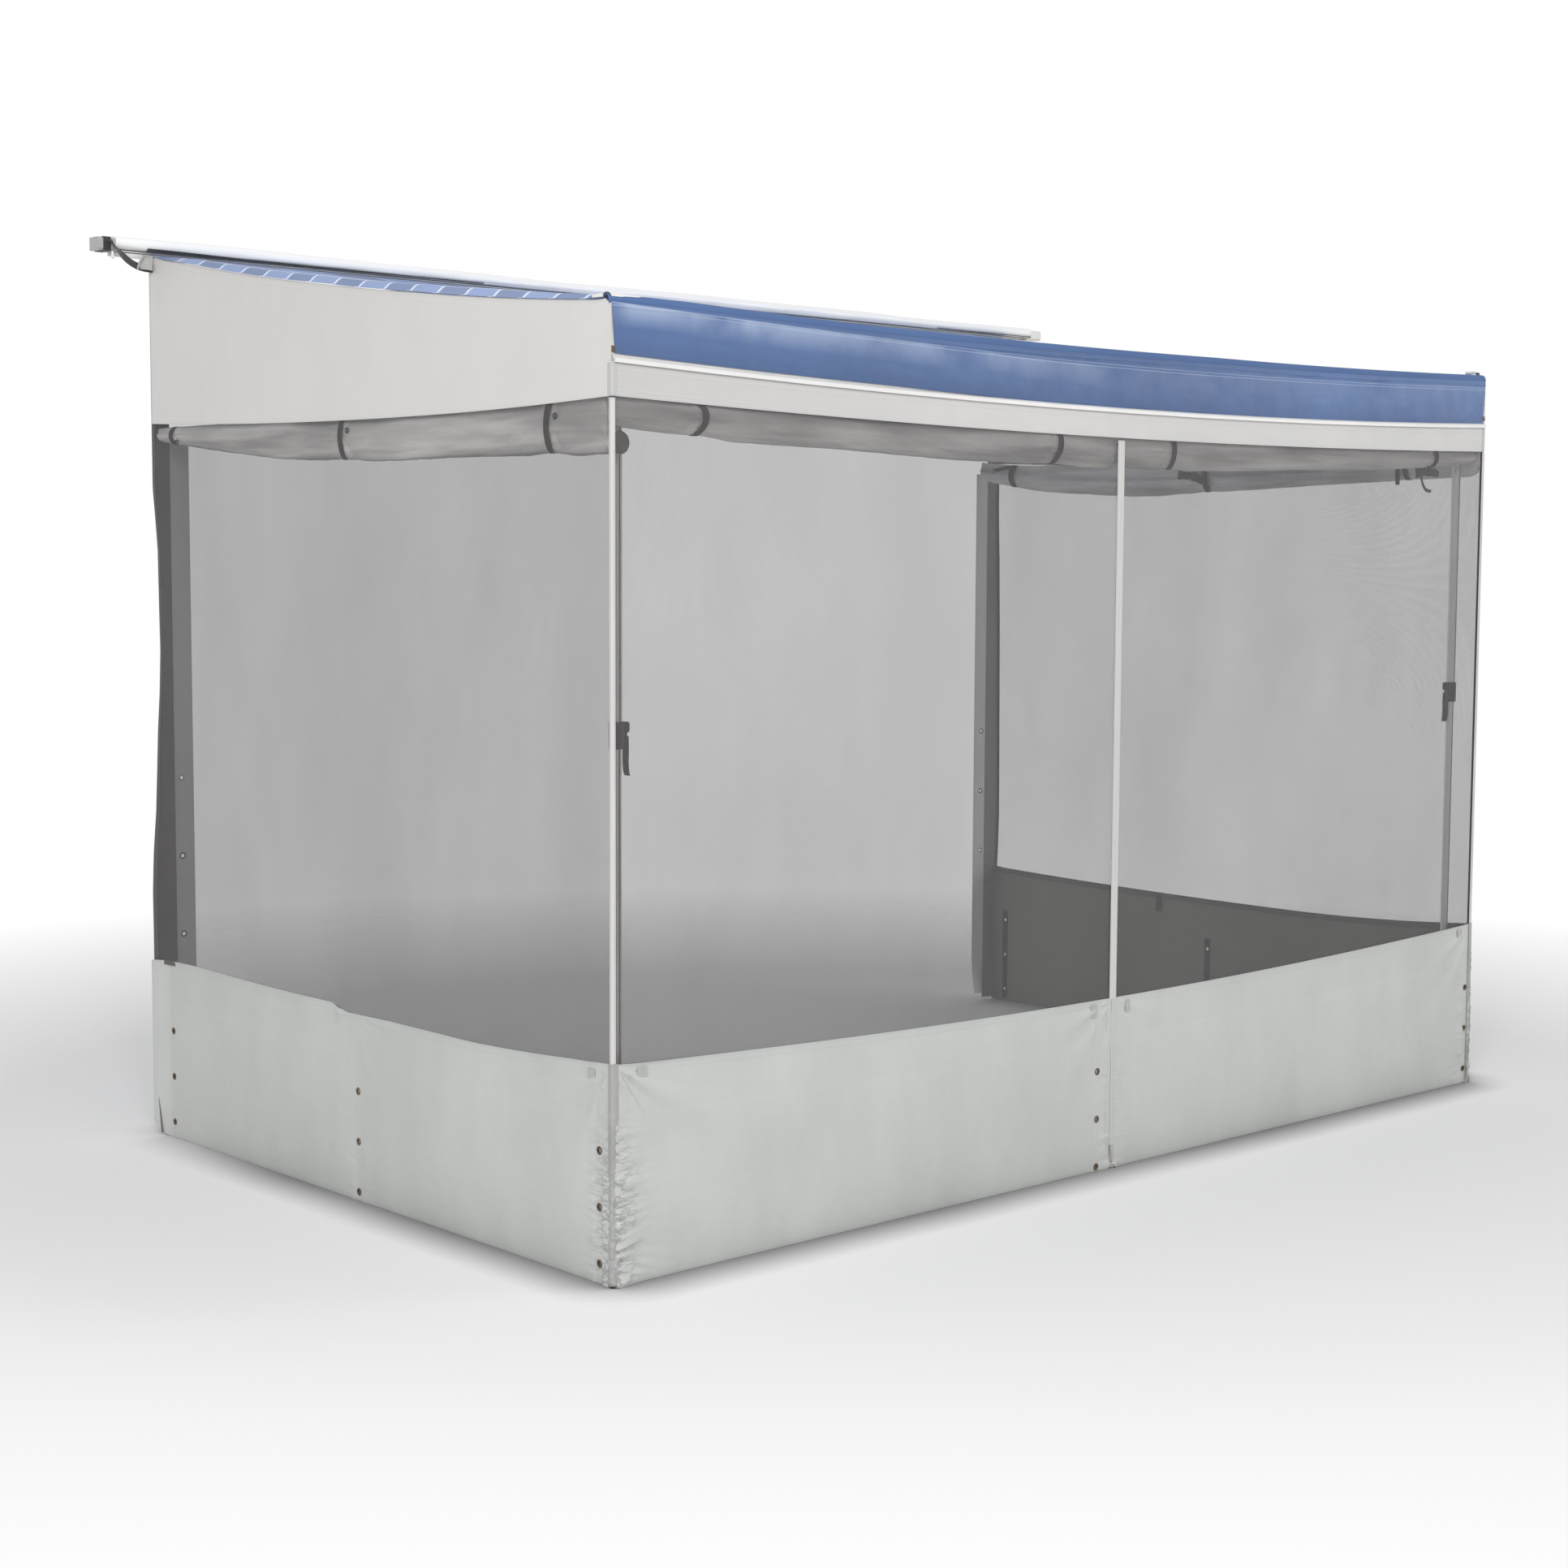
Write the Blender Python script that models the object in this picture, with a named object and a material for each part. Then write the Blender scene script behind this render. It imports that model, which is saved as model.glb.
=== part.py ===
"""Screen room: insect screens, skirts and rolled curtains hung under a roll-out bag awning.

Metres, +Z up. X runs along the front, +Y points to the rear rail. The origin is on the
ground under the middle of the room. The helpers below work in room coordinates, where
y = 0 is the front panels' plane and y = ROOM_DEPTH is the rear plane, and every object
is then moved by FRAME_SHIFT.
"""
import math

import bmesh
import bpy
from mathutils import Matrix, Vector

# Room
ROOM_WIDTH = 3.589
ROOM_DEPTH = 2.134
HALF = ROOM_WIDTH / 2
SEAT_GAP = 0.0003

# Fabric
VINYL = 0.002
MESH = 0.001
LAP = 0.010
OUTER = VINYL + SEAT_GAP
SIDE_CELLS = 16
FRONT_CELLS = 12
SKIRT_ROWS = 4

# Front beam; the fabric's edges, the legs and the rafters hang from its height
BEAM_FOOT = 2.139
BEAM_RISE = 0.143
BEAM_DIP = 0.034
BEAM_FRONT = 0.004
BEAM_BACK = 0.036
BEAM_TOP_CENTRE = BEAM_FOOT + BEAM_RISE
BEAM_TOP_RADIUS = (BEAM_BACK - BEAM_FRONT) / 2
BEAM_WALL = 0.0025
BEAM_CHAMBER_FOOT = 0.022
RAIL_LIP_HEIGHT = 0.0115
RAIL_LIP_TOP = BEAM_FOOT + RAIL_LIP_HEIGHT
RAIL_LIP_FRONT = -0.0095
LIP_RISE = 0.004
LIP_CHAMFER = 0.003
KEDER_RADIUS = 0.0025
KEDER_CLEARANCE = 0.0009
GROOVE_WALL = 0.002
SLIT_CLEARANCE = 0.0007
BEAM_CELLS = 12
CAP_THICKNESS = 0.003

# Heights of the fabric's edges, at the corners, and how far each hangs down in the middle
HEADER_HEIGHT = 0.076
HEADER_FOOT = BEAM_FOOT - HEADER_HEIGHT
HEADER_DIP = 0.026
GABLE_FOOT_FRONT_RISE = 0.013
GABLE_FOOT_REAR_RISE = 0.034
GABLE_FOOT_LOW = HEADER_FOOT - GABLE_FOOT_FRONT_RISE
SKIRT_TOP_FRONT = 0.526
SKIRT_FRONT_RISE = 0.031
SKIRT_REAR_RISE = 0.028
SKIRT_LOW_SIDE = SKIRT_TOP_FRONT - SKIRT_FRONT_RISE
SIDE_LOW_AT = ROOM_DEPTH * 0.328
SKIRT_DIP = 0.043
SKIRT_BELLY = 0.007
SKIRT_RIPPLE = 0.003
RIPPLE_TURNS = 9.0
FULL_BELLY_SPAN = 0.60
FLAT_PATCH = 0.014
GROUND = 0.0

# Rear rail
RAIL_FOOT = 2.5515
RAIL_HEIGHT = 0.0425
RAIL_TOP = RAIL_FOOT + RAIL_HEIGHT
RAIL_PLATE = 0.003
RAIL_NOSE_DEPTH = 0.018
RAIL_OVERHANG = 0.185
RAIL_BEAD_INSET = 0.0075

# Canopy and its front drop
CANOPY_THICKNESS = 0.0015
CANOPY_OVERHANG = 0.006
CANOPY_REAR_Z = RAIL_FOOT + 0.0115
CANOPY_EDGE_SAG = 0.031
CANOPY_MIDDLE_SAG = 0.030
CANOPY_WRAP_FOOT = BEAM_TOP_CENTRE - 0.006
CANOPY_CELLS = 10
RAIL_SHOULDER = CANOPY_REAR_Z + CANOPY_THICKNESS / 2 + KEDER_RADIUS + KEDER_CLEARANCE + GROOVE_WALL
VALANCE_INSET = 0.010
VALANCE_SWELL = 0.010
VALANCE_WAVE = 0.0008
VALANCE_LAP = 0.004
RETURN_WIDTH = 0.035

# Storage bag, between an end housing on each side
HOUSING_LENGTH = 0.055
HOUSING_DEPTH = 0.052
HOUSING_CORNER = 0.006
HOUSING_LIFT = 0.010
HOUSING_TOP = 0.004
BAG_DEPTH = 0.050
BAG_HEIGHT = 0.037
BAG_SEAT = 0.0005
BAG_CENTRE_Z = RAIL_SHOULDER + BAG_SEAT + BAG_HEIGHT / 2
BAG_ZIP_THICKNESS = 0.002
BAG_ZIP_START = 212.0
BAG_ZIP_END = 248.0
BAG_ZIP_OVERHANG = 0.030
BAG_CELLS = 16
STRAP_WIDTH = 0.025
STRAP_THICKNESS = 0.002
STRAP_DROP = 0.012
STRAP_TOP_INSET = 0.027
STRAP_TOP_Z = RAIL_TOP - 0.007
STRAP_FOOT_Z = CANOPY_REAR_Z - 0.039

# Seals and flaps at the rear corners
SEAL_WIDTH = 0.057
SEAL_THICKNESS = 0.003
SEAL_FOOT = 0.010
SEAL_TOP = RAIL_FOOT - 0.0065
SEAL_BACK_GAP = 0.0007
SEAL_OVERHANG = 0.004
FLAP_WIDTH = 0.061
FLAP_THICKNESS = 0.002
FLAP_FOOT = 0.030
FLAP_TOP = GABLE_FOOT_LOW - 0.010
FLAP_COLUMN_INSET = 0.022
SIDE_END = ROOM_DEPTH - SEAL_THICKNESS - 0.001

# Rolled curtains
ROLL_THICKNESS = 0.030
STRAP_PINCH = 0.06
ROLL_TOP = HEADER_FOOT + 0.009
ROLL_END_GAP = 0.006
ROLL_END_LENGTH = 0.05
ROLL_END_SIZE = 0.55
STRAP_DRAW = 0.10
STRAP_REACH = 0.07
ROLL_SIDES = 12
LEFT_ROLL_HEIGHT = 0.132
RIGHT_ROLL_HEIGHT = 0.127
FRONT_ROLL_HEIGHT = 0.118
ROLL_STRAP = 0.0012
ROLL_STRAP_WIDTH = 0.020
SIDE_STRAPS = {
    "left": (0.244, ROOM_DEPTH * 0.531, ROOM_DEPTH - 0.110),
    "right": (0.272, ROOM_DEPTH * 0.516, ROOM_DEPTH - 0.127)}
FRONT_STRAPS = {"left": (-HALF * 0.850, -HALF * 0.151), "right": (HALF * 0.120, HALF * 0.850)}

# Zips
ZIP_LEG = 0.009
ZIP_HALF_WIDTH = 0.014
ZIP_THICKNESS = 0.0015
ZIP_FOOT = 0.012
ZIP_TOP_GAP = 0.004
CENTRE_ZIP_X = -0.014
CENTRE_ZIP_TOP = HEADER_FOOT - HEADER_DIP - 0.007
SLIDER_HEIGHT = 0.022
SLIDER_THICKNESS = 0.004
PULL_LENGTH = 0.032
PULL_THICKNESS = 0.0015
PULL_TOP_RADIUS = 0.0045
PULL_FOOT_RADIUS = 0.0035
PULL_RISE = 0.006
PULL_SINK = 0.0005
CENTRE_SLIDER_HALF = 0.006

# Grommets
GROMMET_OUTER = 0.011
GROMMET_INNER = 0.0055
GROMMET_PROUD = 0.0010
GROMMET_PITCH = 0.135
GROMMET_LOWEST = 0.047
GROMMET_ROWS = 3
GROMMET_SEGMENTS = 12
FLAP_GROMMET_LOWEST = 0.590
FLAP_GROMMET_PITCH = 0.232
SIDE_COLUMNS = (0.047, ROOM_DEPTH / 2 + 0.008, ROOM_DEPTH - 0.074)
CENTRE_COLUMN_INSET = 0.060
CORNER_COLUMN_INSET = ZIP_LEG + GROMMET_OUTER + 0.0015

# Legs
LEG_INSET = 0.060
LEG_PIVOT_Z = BEAM_FOOT + 0.036
TUBE_WALL = 0.0015
UPPER_RADIUS = 0.014
LOWER_RADIUS = 0.0120
HEAD_WIDTH = 0.020
HEAD_RADIUS = 0.0135
SPIGOT_LENGTH = 0.040
PIN_RADIUS = 0.004
PIVOT_CLEARANCE = 0.0003
SLIDE_CLEARANCE = 0.0003
CLAMP_RADIUS = 0.018
CLAMP_FOOT = 1.255
CLAMP_HEIGHT = 0.063
CLAMP_TOP = CLAMP_FOOT + CLAMP_HEIGHT
CLAMP_CHAMFER = 0.0015
UPPER_FOOT = CLAMP_FOOT + 0.007
UPPER_TOP = LEG_PIVOT_Z - 0.027
LOWER_TOP = UPPER_FOOT + 0.258
EAR_GAP = 0.0035
EAR_OUTER = 0.0085
EAR_HALF_HEIGHT = 0.013
EAR_CORNER = 0.007
EAR_START = CLAMP_RADIUS - 0.002
LEVER_PIVOT_OFFSET = 0.026
LEVER_PIVOT_Z = CLAMP_TOP - 0.013
LEVER_PIN_RADIUS = 0.0020
LEVER_LENGTH = 0.113
CAM_RADIUS = 0.006
PADDLE_HALF_WIDTH = 0.009
CLAMP_SLIT = 0.002
FOOT_RADIUS = 0.018
FOOT_HEIGHT = 0.035
FOOT_FLOOR = 0.005

# Rafters
RAFTER_INSET = 0.095
RAFTER_FRONT_Y = 0.052
RAFTER_FRONT_Z = BEAM_FOOT + 0.089
RAFTER_REAR_GAP = 0.012
RAFTER_REAR_Z = RAIL_FOOT - 0.0575
RAFTER_OUTER_RADIUS = 0.0125
RAFTER_INNER_RADIUS = 0.0105
RAFTER_OUTER_START = 0.85
RAFTER_INNER_END = 1.20
LOCK_RADIUS = 0.0175
LOCK_LENGTH = 0.040
KNOB_RADIUS = 0.014
KNOB_HEIGHT = 0.012
CRADLE_WALL = 0.003
CRADLE_LENGTH = 0.045
CRADLE_LIP = -0.008
LOCK_LEAD = 0.006
ROUND_SEGMENTS = 20

# Mounting plates
PLATE_THICKNESS = 0.003
BRACKET_HALF_WIDTH = 0.026
BRACKET_DROP = 0.034
LEG_PLATE_HALF_WIDTH = 0.020
LEG_PLATE_DROP = 0.027
LEG_PLATE_RISE = 0.025
LUG_THICKNESS = 0.004
LUG_HALF_WIDTH = 0.014
LUG_DROP = 0.020
LUG_RISE = 0.016

# The front-most cloth is the belly of the front skirts
FRONT_REACH = OUTER + SKIRT_BELLY + SKIRT_RIPPLE
FRAME_SHIFT = Vector((0.0, -(ROOM_DEPTH - FRONT_REACH) / 2, 0.0))
SIDES = (("left", -1.0), ("right", 1.0))


# Materials

def material(name, colour, roughness, metallic=0.0):
    made = bpy.data.materials.get(name)
    if made:
        return made
    made = bpy.data.materials.new(name)
    made.use_nodes = True
    shader = made.node_tree.nodes["Principled BSDF"]
    shader.inputs["Base Color"].default_value = (*colour, 1.0)
    shader.inputs["Roughness"].default_value = roughness
    shader.inputs["Metallic"].default_value = metallic
    return made


def white_vinyl():
    return material("white_vinyl", (0.62, 0.62, 0.60), 0.55)


def grey_vinyl():
    return material("grey_vinyl", (0.50, 0.51, 0.50), 0.55)


def insect_mesh():
    return material("insect_mesh", (0.22, 0.21, 0.21), 0.80)


def curtain_fabric():
    return material("curtain_fabric", (0.45, 0.44, 0.44), 0.75)


def blue_canopy():
    return material("blue_canopy", (0.13, 0.21, 0.42), 0.45)


def dark_fabric():
    return material("dark_fabric", (0.10, 0.10, 0.10), 0.85)


def white_metal():
    return material("white_metal", (0.80, 0.79, 0.77), 0.35)


def bare_metal():
    return material("bare_metal", (0.60, 0.60, 0.60), 0.30, 1.0)


def dark_plastic():
    return material("dark_plastic", (0.05, 0.05, 0.05), 0.50)


def grey_plastic():
    return material("grey_plastic", (0.42, 0.41, 0.40), 0.50)


def dark_rubber():
    return material("dark_rubber", (0.04, 0.04, 0.04), 0.80)


def white_tape():
    return material("white_tape", (0.80, 0.79, 0.78), 0.60)


def bag_vinyl():
    return material("bag_vinyl", (0.85, 0.85, 0.85), 0.45)


# Mesh helpers

def add_object(name, bm, look, pivot=(0.0, 0.0, 0.0), sharp=35.0):
    """Store a closed bmesh as an object whose origin is at the pivot."""
    bmesh.ops.recalc_face_normals(bm, faces=bm.faces)
    bmesh.ops.translate(bm, verts=bm.verts, vec=-Vector(pivot))
    mesh = bpy.data.meshes.new(name)
    bm.to_mesh(mesh)
    bm.free()
    mesh.materials.append(look)
    mesh.shade_smooth()
    mesh.set_sharp_from_angle(angle=math.radians(sharp))
    made = bpy.data.objects.new(name, mesh)
    made.location = Vector(pivot) + FRAME_SHIFT
    bpy.context.scene.collection.objects.link(made)
    return made


def combine(target, tool, operation):
    """Join to, or cut from, the target with a hidden tool object."""
    tool.hide_render = True
    tool.display_type = "WIRE"
    modifier = target.modifiers.new(operation.lower() + "_" + tool.name, "BOOLEAN")
    modifier.operation = operation
    modifier.object = tool
    modifier.solver = "EXACT"


def skin(bm, rings):
    """Join rings of equal count into one open skin; returns the loops of vertices."""
    loops = [[bm.verts.new(point) for point in ring] for ring in rings]
    count = len(loops[0])
    for first, second in zip(loops, loops[1:]):
        for i in range(count):
            j = (i + 1) % count
            bm.faces.new((first[i], first[j], second[j], second[i]))
    return loops


def swept(rings):
    """A solid through rings of equal count, capped at both ends."""
    bm = bmesh.new()
    loops = skin(bm, rings)
    bm.faces.new(loops[0])
    bm.faces.new(list(reversed(loops[-1])))
    return bm


def turned(profile, place=Matrix.Identity(4), segments=ROUND_SEGMENTS):
    """Turn a closed (radius, height) profile about Z; points at radius 0 become one vertex."""
    bm = bmesh.new()
    rings = []
    for radius, height in profile:
        if radius == 0.0:
            rings.append([bm.verts.new((0.0, 0.0, height))] * segments)
            continue
        ring = []
        for i in range(segments):
            angle = 2 * math.pi * i / segments
            ring.append(bm.verts.new((radius * math.cos(angle), radius * math.sin(angle), height)))
        rings.append(ring)
    for first, second in zip(rings, rings[1:] + rings[:1]):
        for i in range(segments):
            j = (i + 1) % segments
            corners = []
            for corner in (first[i], first[j], second[j], second[i]):
                if corner not in corners:
                    corners.append(corner)
            if len(corners) > 2:
                bm.faces.new(corners)
    bmesh.ops.transform(bm, matrix=place, verts=bm.verts)
    return bm


def tube(radius, wall, low, high, place):
    """A round tube between two heights."""
    inner = radius - wall
    return turned([(radius, low), (radius, high), (inner, high), (inner, low)], place)


def prism(outline, low, high, place):
    """Extrude a flat outline of (x, y) points from z = low to z = high."""
    rings = [[Vector((x, y, z)) for x, y in outline] for z in (low, high)]
    bm = swept(rings)
    bmesh.ops.transform(bm, matrix=place, verts=bm.verts)
    return bm


def box(low, high):
    (x0, y0, z0), (x1, y1, z1) = low, high
    return prism([(x0, y0), (x1, y0), (x1, y1), (x0, y1)], z0, z1, Matrix.Identity(4))


def sheet(columns, inward, thickness):
    """A closed sheet of cloth from columns of points on its outer face."""
    rings = []
    for column in columns:
        back = [point + inward * thickness for point in reversed(column)]
        rings.append(list(column) + back)
    bm = bmesh.new()
    loops = skin(bm, rings)
    count = len(loops[0])
    rows = count // 2
    for loop in (loops[0], loops[-1]):
        for i in range(rows - 1):
            bm.faces.new((loop[i], loop[i + 1], loop[count - 2 - i], loop[count - 1 - i]))
    bmesh.ops.triangulate(bm, faces=bm.faces)
    return bm


def spread(low, high, cells):
    return [low + (high - low) * i / cells for i in range(cells + 1)]


def arc(centre, radius, start, end, steps):
    """Points of an arc in a flat plane, angles in degrees."""
    points = []
    for i in range(steps + 1):
        angle = math.radians(start + (end - start) * i / steps)
        points.append((centre[0] + radius * math.cos(angle), centre[1] + radius * math.sin(angle)))
    return points


# The curves that the cloth hangs in

def dip(x, depth):
    """How far an edge that is held at both corners has dropped at x."""
    return depth * (1.0 - (x / HALF) ** 2)


def side_edge(y, low, front_rise, rear_rise):
    """Height of a side panel's edge: lowest near the middle, rising to both corners."""
    if y < SIDE_LOW_AT:
        return low + front_rise * ((SIDE_LOW_AT - y) / SIDE_LOW_AT) ** 2
    return low + rear_rise * ((y - SIDE_LOW_AT) / (ROOM_DEPTH - SIDE_LOW_AT)) ** 2


def gable_foot(y):
    return side_edge(y, GABLE_FOOT_LOW, GABLE_FOOT_FRONT_RISE, GABLE_FOOT_REAR_RISE)


def side_skirt_top(y):
    return side_edge(y, SKIRT_LOW_SIDE, SKIRT_FRONT_RISE, SKIRT_REAR_RISE)


def front_skirt_top(x):
    return SKIRT_TOP_FRONT - dip(x, SKIRT_DIP)


def header_foot(x):
    return HEADER_FOOT - dip(x, HEADER_DIP)


def canopy_z(x, y):
    """Underside of the canopy, from the beam's top to the rear rail."""
    front_y = BEAM_FRONT + BEAM_TOP_RADIUS
    front_z = BEAM_TOP_CENTRE + BEAM_TOP_RADIUS + SEAT_GAP
    rear_y = ROOM_DEPTH - RAIL_NOSE_DEPTH
    t = (y - front_y) / (rear_y - front_y)
    bow = 4.0 * t * (1.0 - t)
    sag = CANOPY_EDGE_SAG * bow + max(dip(x, CANOPY_MIDDLE_SAG), 0.0) * bow
    return front_z + (CANOPY_REAR_Z - front_z) * t - sag - max(dip(x, BEAM_DIP), 0.0) * (1.0 - t)


def canopy_wrap_front():
    """The front-most face of the canopy where it wraps the beam."""
    return BEAM_FRONT - SEAT_GAP - CANOPY_THICKNESS


def canopy_stations():
    front_y = BEAM_FRONT + BEAM_TOP_RADIUS
    return spread(front_y, ROOM_DEPTH - RAIL_NOSE_DEPTH, CANOPY_CELLS)


# Sheets of the walls

def wall_sheet(name, stations, low, high, rows, look, place, inward, thickness, belly=None):
    """A wall panel: columns at the stations, from low(s) to high(s), pushed out by belly(s, v)."""
    columns = []
    for s in stations:
        foot, top = low(s), high(s)
        column = []
        for v in spread(0.0, 1.0, rows):
            push = belly(s, v) if belly else 0.0
            column.append(place(s, foot + (top - foot) * v, push))
        columns.append(column)
    return add_object(name, sheet(columns, inward, thickness), look)


def side_place(side, layer):
    """Points of a side wall: s is the depth, push is outwards."""
    return lambda s, z, push: Vector((side * (HALF + layer + push), s, z))


def front_place(layer):
    return lambda s, z, push: Vector((s, -layer - push, z))


def folds(columns):
    """A belly that is flat round each fastened column, with soft folds between the columns."""
    def push(s, v):
        for first, second in zip(columns, columns[1:]):
            start, end = first + FLAT_PATCH, second - FLAT_PATCH
            if start < s < end:
                slack = min((end - start) / FULL_BELLY_SPAN, 1.0) ** 2
                hold = slack * math.sin(math.pi * (s - start) / (end - start))
                fall = math.sin(math.pi * min(v * 1.05, 1.0))
                return hold * fall * (SKIRT_BELLY + SKIRT_RIPPLE * math.cos(RIPPLE_TURNS * s))
        return 0.0
    return push


def with_patches(stations, columns):
    """Stations with an edge on both sides of each column's flat patch, and none inside it."""
    marks = [s for s in stations if all(abs(s - column) > 1.5 * FLAT_PATCH for column in columns)]
    for column in columns:
        marks += [column - FLAT_PATCH, column + FLAT_PATCH]
    ends = [stations[0], stations[-1]]
    inside = [s for s in marks if stations[0] + 0.002 < s < stations[-1] - 0.002]
    return sorted(ends + inside)


def screens():
    for word, side in SIDES:
        wall_sheet(
            "screen_" + word, spread(MESH + SEAT_GAP, SIDE_END, SIDE_CELLS),
            lambda y: side_skirt_top(y) - LAP, lambda y: gable_foot(y) + LAP,
            1, insect_mesh(), side_place(side, 0.0), Vector((-side, 0.0, 0.0)), MESH)
    spans = (("left", -HALF, CENTRE_ZIP_X - SEAT_GAP), ("right", CENTRE_ZIP_X + SEAT_GAP, HALF))
    for word, low, high in spans:
        wall_sheet(
            "screen_front_" + word, spread(low, high, FRONT_CELLS),
            lambda x: front_skirt_top(x) - LAP, lambda x: header_foot(x) + LAP,
            1, insect_mesh(), front_place(0.0), Vector((0.0, 1.0, 0.0)), MESH)


def gathered(shapes):
    """Several closed shapes in one bmesh."""
    whole = bmesh.new()
    for shape in shapes:
        mesh = bpy.data.meshes.new("shape")
        shape.to_mesh(mesh)
        shape.free()
        whole.from_mesh(mesh)
        bpy.data.meshes.remove(mesh)
    return whole


def set_grommets(target, centres, outward, sheet_depth):
    """Rings crimped through a sheet, each with its hole."""
    turn = Vector((0.0, 0.0, 1.0)).rotation_difference(outward).to_matrix().to_4x4()
    back = -sheet_depth - GROMMET_PROUD
    ring = [(0.0, GROMMET_PROUD), (GROMMET_OUTER, GROMMET_PROUD), (GROMMET_OUTER, back), (0.0, back)]
    reach = 5 * sheet_depth
    hole = [(0.0, reach), (GROMMET_INNER, reach), (GROMMET_INNER, -reach), (0.0, -reach)]
    for word, profile, operation in (("rings", ring, "UNION"), ("holes", hole, "DIFFERENCE")):
        shapes = [turned(profile, Matrix.Translation(centre) @ turn, GROMMET_SEGMENTS) for centre in centres]
        tool = add_object(f"{target.name}_{word}", gathered(shapes), bare_metal())
        combine(target, tool, operation)


def grommet_heights(lowest, pitch):
    return [lowest + pitch * i for i in range(GROMMET_ROWS)]


def skirts():
    for word, side in SIDES:
        made = wall_sheet(
            "skirt_" + word, with_patches(spread(0.0, SIDE_END, SIDE_CELLS), SIDE_COLUMNS),
            lambda y: GROUND, side_skirt_top, SKIRT_ROWS, grey_vinyl(), side_place(side, OUTER),
            Vector((-side, 0.0, 0.0)), VINYL, folds((0.0,) + SIDE_COLUMNS + (SIDE_END,)))
        centres = [Vector((side * (HALF + OUTER), y, z))
                   for y in SIDE_COLUMNS for z in grommet_heights(GROMMET_LOWEST, GROMMET_PITCH)]
        set_grommets(made, centres, Vector((side, 0.0, 0.0)), VINYL)
    spans = (
        ("left", -HALF, CENTRE_ZIP_X - SEAT_GAP, CENTRE_ZIP_X - CENTRE_COLUMN_INSET),
        ("right", CENTRE_ZIP_X + SEAT_GAP, HALF, HALF - CORNER_COLUMN_INSET))
    for word, low, high, column in spans:
        made = wall_sheet(
            "skirt_front_" + word, with_patches(spread(low, high, FRONT_CELLS), (column,)),
            lambda x: GROUND, front_skirt_top, SKIRT_ROWS, grey_vinyl(), front_place(OUTER),
            Vector((0.0, 1.0, 0.0)), VINYL, folds((low, column, high)))
        centres = [Vector((column, -OUTER, z)) for z in grommet_heights(GROMMET_LOWEST, GROMMET_PITCH)]
        set_grommets(made, centres, Vector((0.0, -1.0, 0.0)), VINYL)


def gables():
    """The top edge follows the canopy's underside and ducks under its front wrap and the rear rail."""
    behind_wrap = BEAM_FRONT + SEAT_GAP
    rail_front = ROOM_DEPTH - RAIL_NOSE_DEPTH - 0.002
    stations = [0.0, behind_wrap] + canopy_stations()[:-1] + [rail_front, SIDE_END]

    def top(y):
        if y <= behind_wrap:
            return CANOPY_WRAP_FOOT - SEAT_GAP
        if y >= rail_front:
            return RAIL_FOOT - SEAT_GAP
        return canopy_z(HALF, y) - 2 * SEAT_GAP
    for word, side in SIDES:
        wall_sheet(
            "gable_" + word, stations, gable_foot, top, 2, white_vinyl(),
            side_place(side, OUTER), Vector((-side, 0.0, 0.0)), VINYL)


def corner_returns():
    """Short strips that close the front of each gable behind the canopy's drop."""
    for word, side in SIDES:
        ends = sorted((side * (HALF - RETURN_WIDTH), side * HALF))
        top = CANOPY_WRAP_FOOT - dip(HALF - RETURN_WIDTH, BEAM_DIP) - 2 * SEAT_GAP
        bm = box(
            (ends[0], canopy_wrap_front(), RAIL_LIP_TOP + LIP_RISE + 0.002),
            (ends[1], BEAM_FRONT - SEAT_GAP, top))
        add_object("corner_return_" + word, bm, white_vinyl())


def header_band():
    """The band's top edge carries a round bead that runs in the rail's groove."""
    centre_y = -OUTER + VINYL / 2
    bead_z = BEAM_FOOT + GROOVE_WALL + KEDER_RADIUS + SEAT_GAP
    rings = []
    for x in spread(-HALF, HALF, BEAM_CELLS):
        drop = max(dip(x, BEAM_DIP), 0.0)
        bead = arc((centre_y, bead_z), KEDER_RADIUS, -70.0, 250.0, 8)
        ring = [Vector((x, y, z - drop)) for y, z in bead]
        ring.append(Vector((x, -OUTER, header_foot(x))))
        ring.append(Vector((x, -SEAT_GAP, header_foot(x))))
        rings.append(ring)
    add_object("header_band", swept(rings), white_vinyl())


def wall_seals():
    """Draught seals at the rear corners, each with a flap beside it that carries grommets."""
    back = ROOM_DEPTH - SEAL_BACK_GAP
    front = back - SEAL_THICKNESS
    for word, side in SIDES:
        edge = side * (HALF + SEAL_OVERHANG)
        inner = edge - side * SEAL_WIDTH
        low_x, high_x = sorted((edge, inner))
        bm = box((low_x, front, SEAL_FOOT), (high_x, back, SEAL_TOP))
        add_object("wall_seal_" + word, bm, dark_fabric())
        start = inner - side * SEAT_GAP
        low_x, high_x = sorted((start, start - side * FLAP_WIDTH))
        bm = box((low_x, front, FLAP_FOOT), (high_x, front + FLAP_THICKNESS, FLAP_TOP))
        flap = add_object("wall_flap_" + word, bm, grey_vinyl())
        column = start - side * FLAP_COLUMN_INSET
        centres = [Vector((column, front, z))
                   for z in grommet_heights(FLAP_GROMMET_LOWEST, FLAP_GROMMET_PITCH)]
        set_grommets(flap, centres, Vector((0.0, -1.0, 0.0)), FLAP_THICKNESS)


# Rolled curtains

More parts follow.
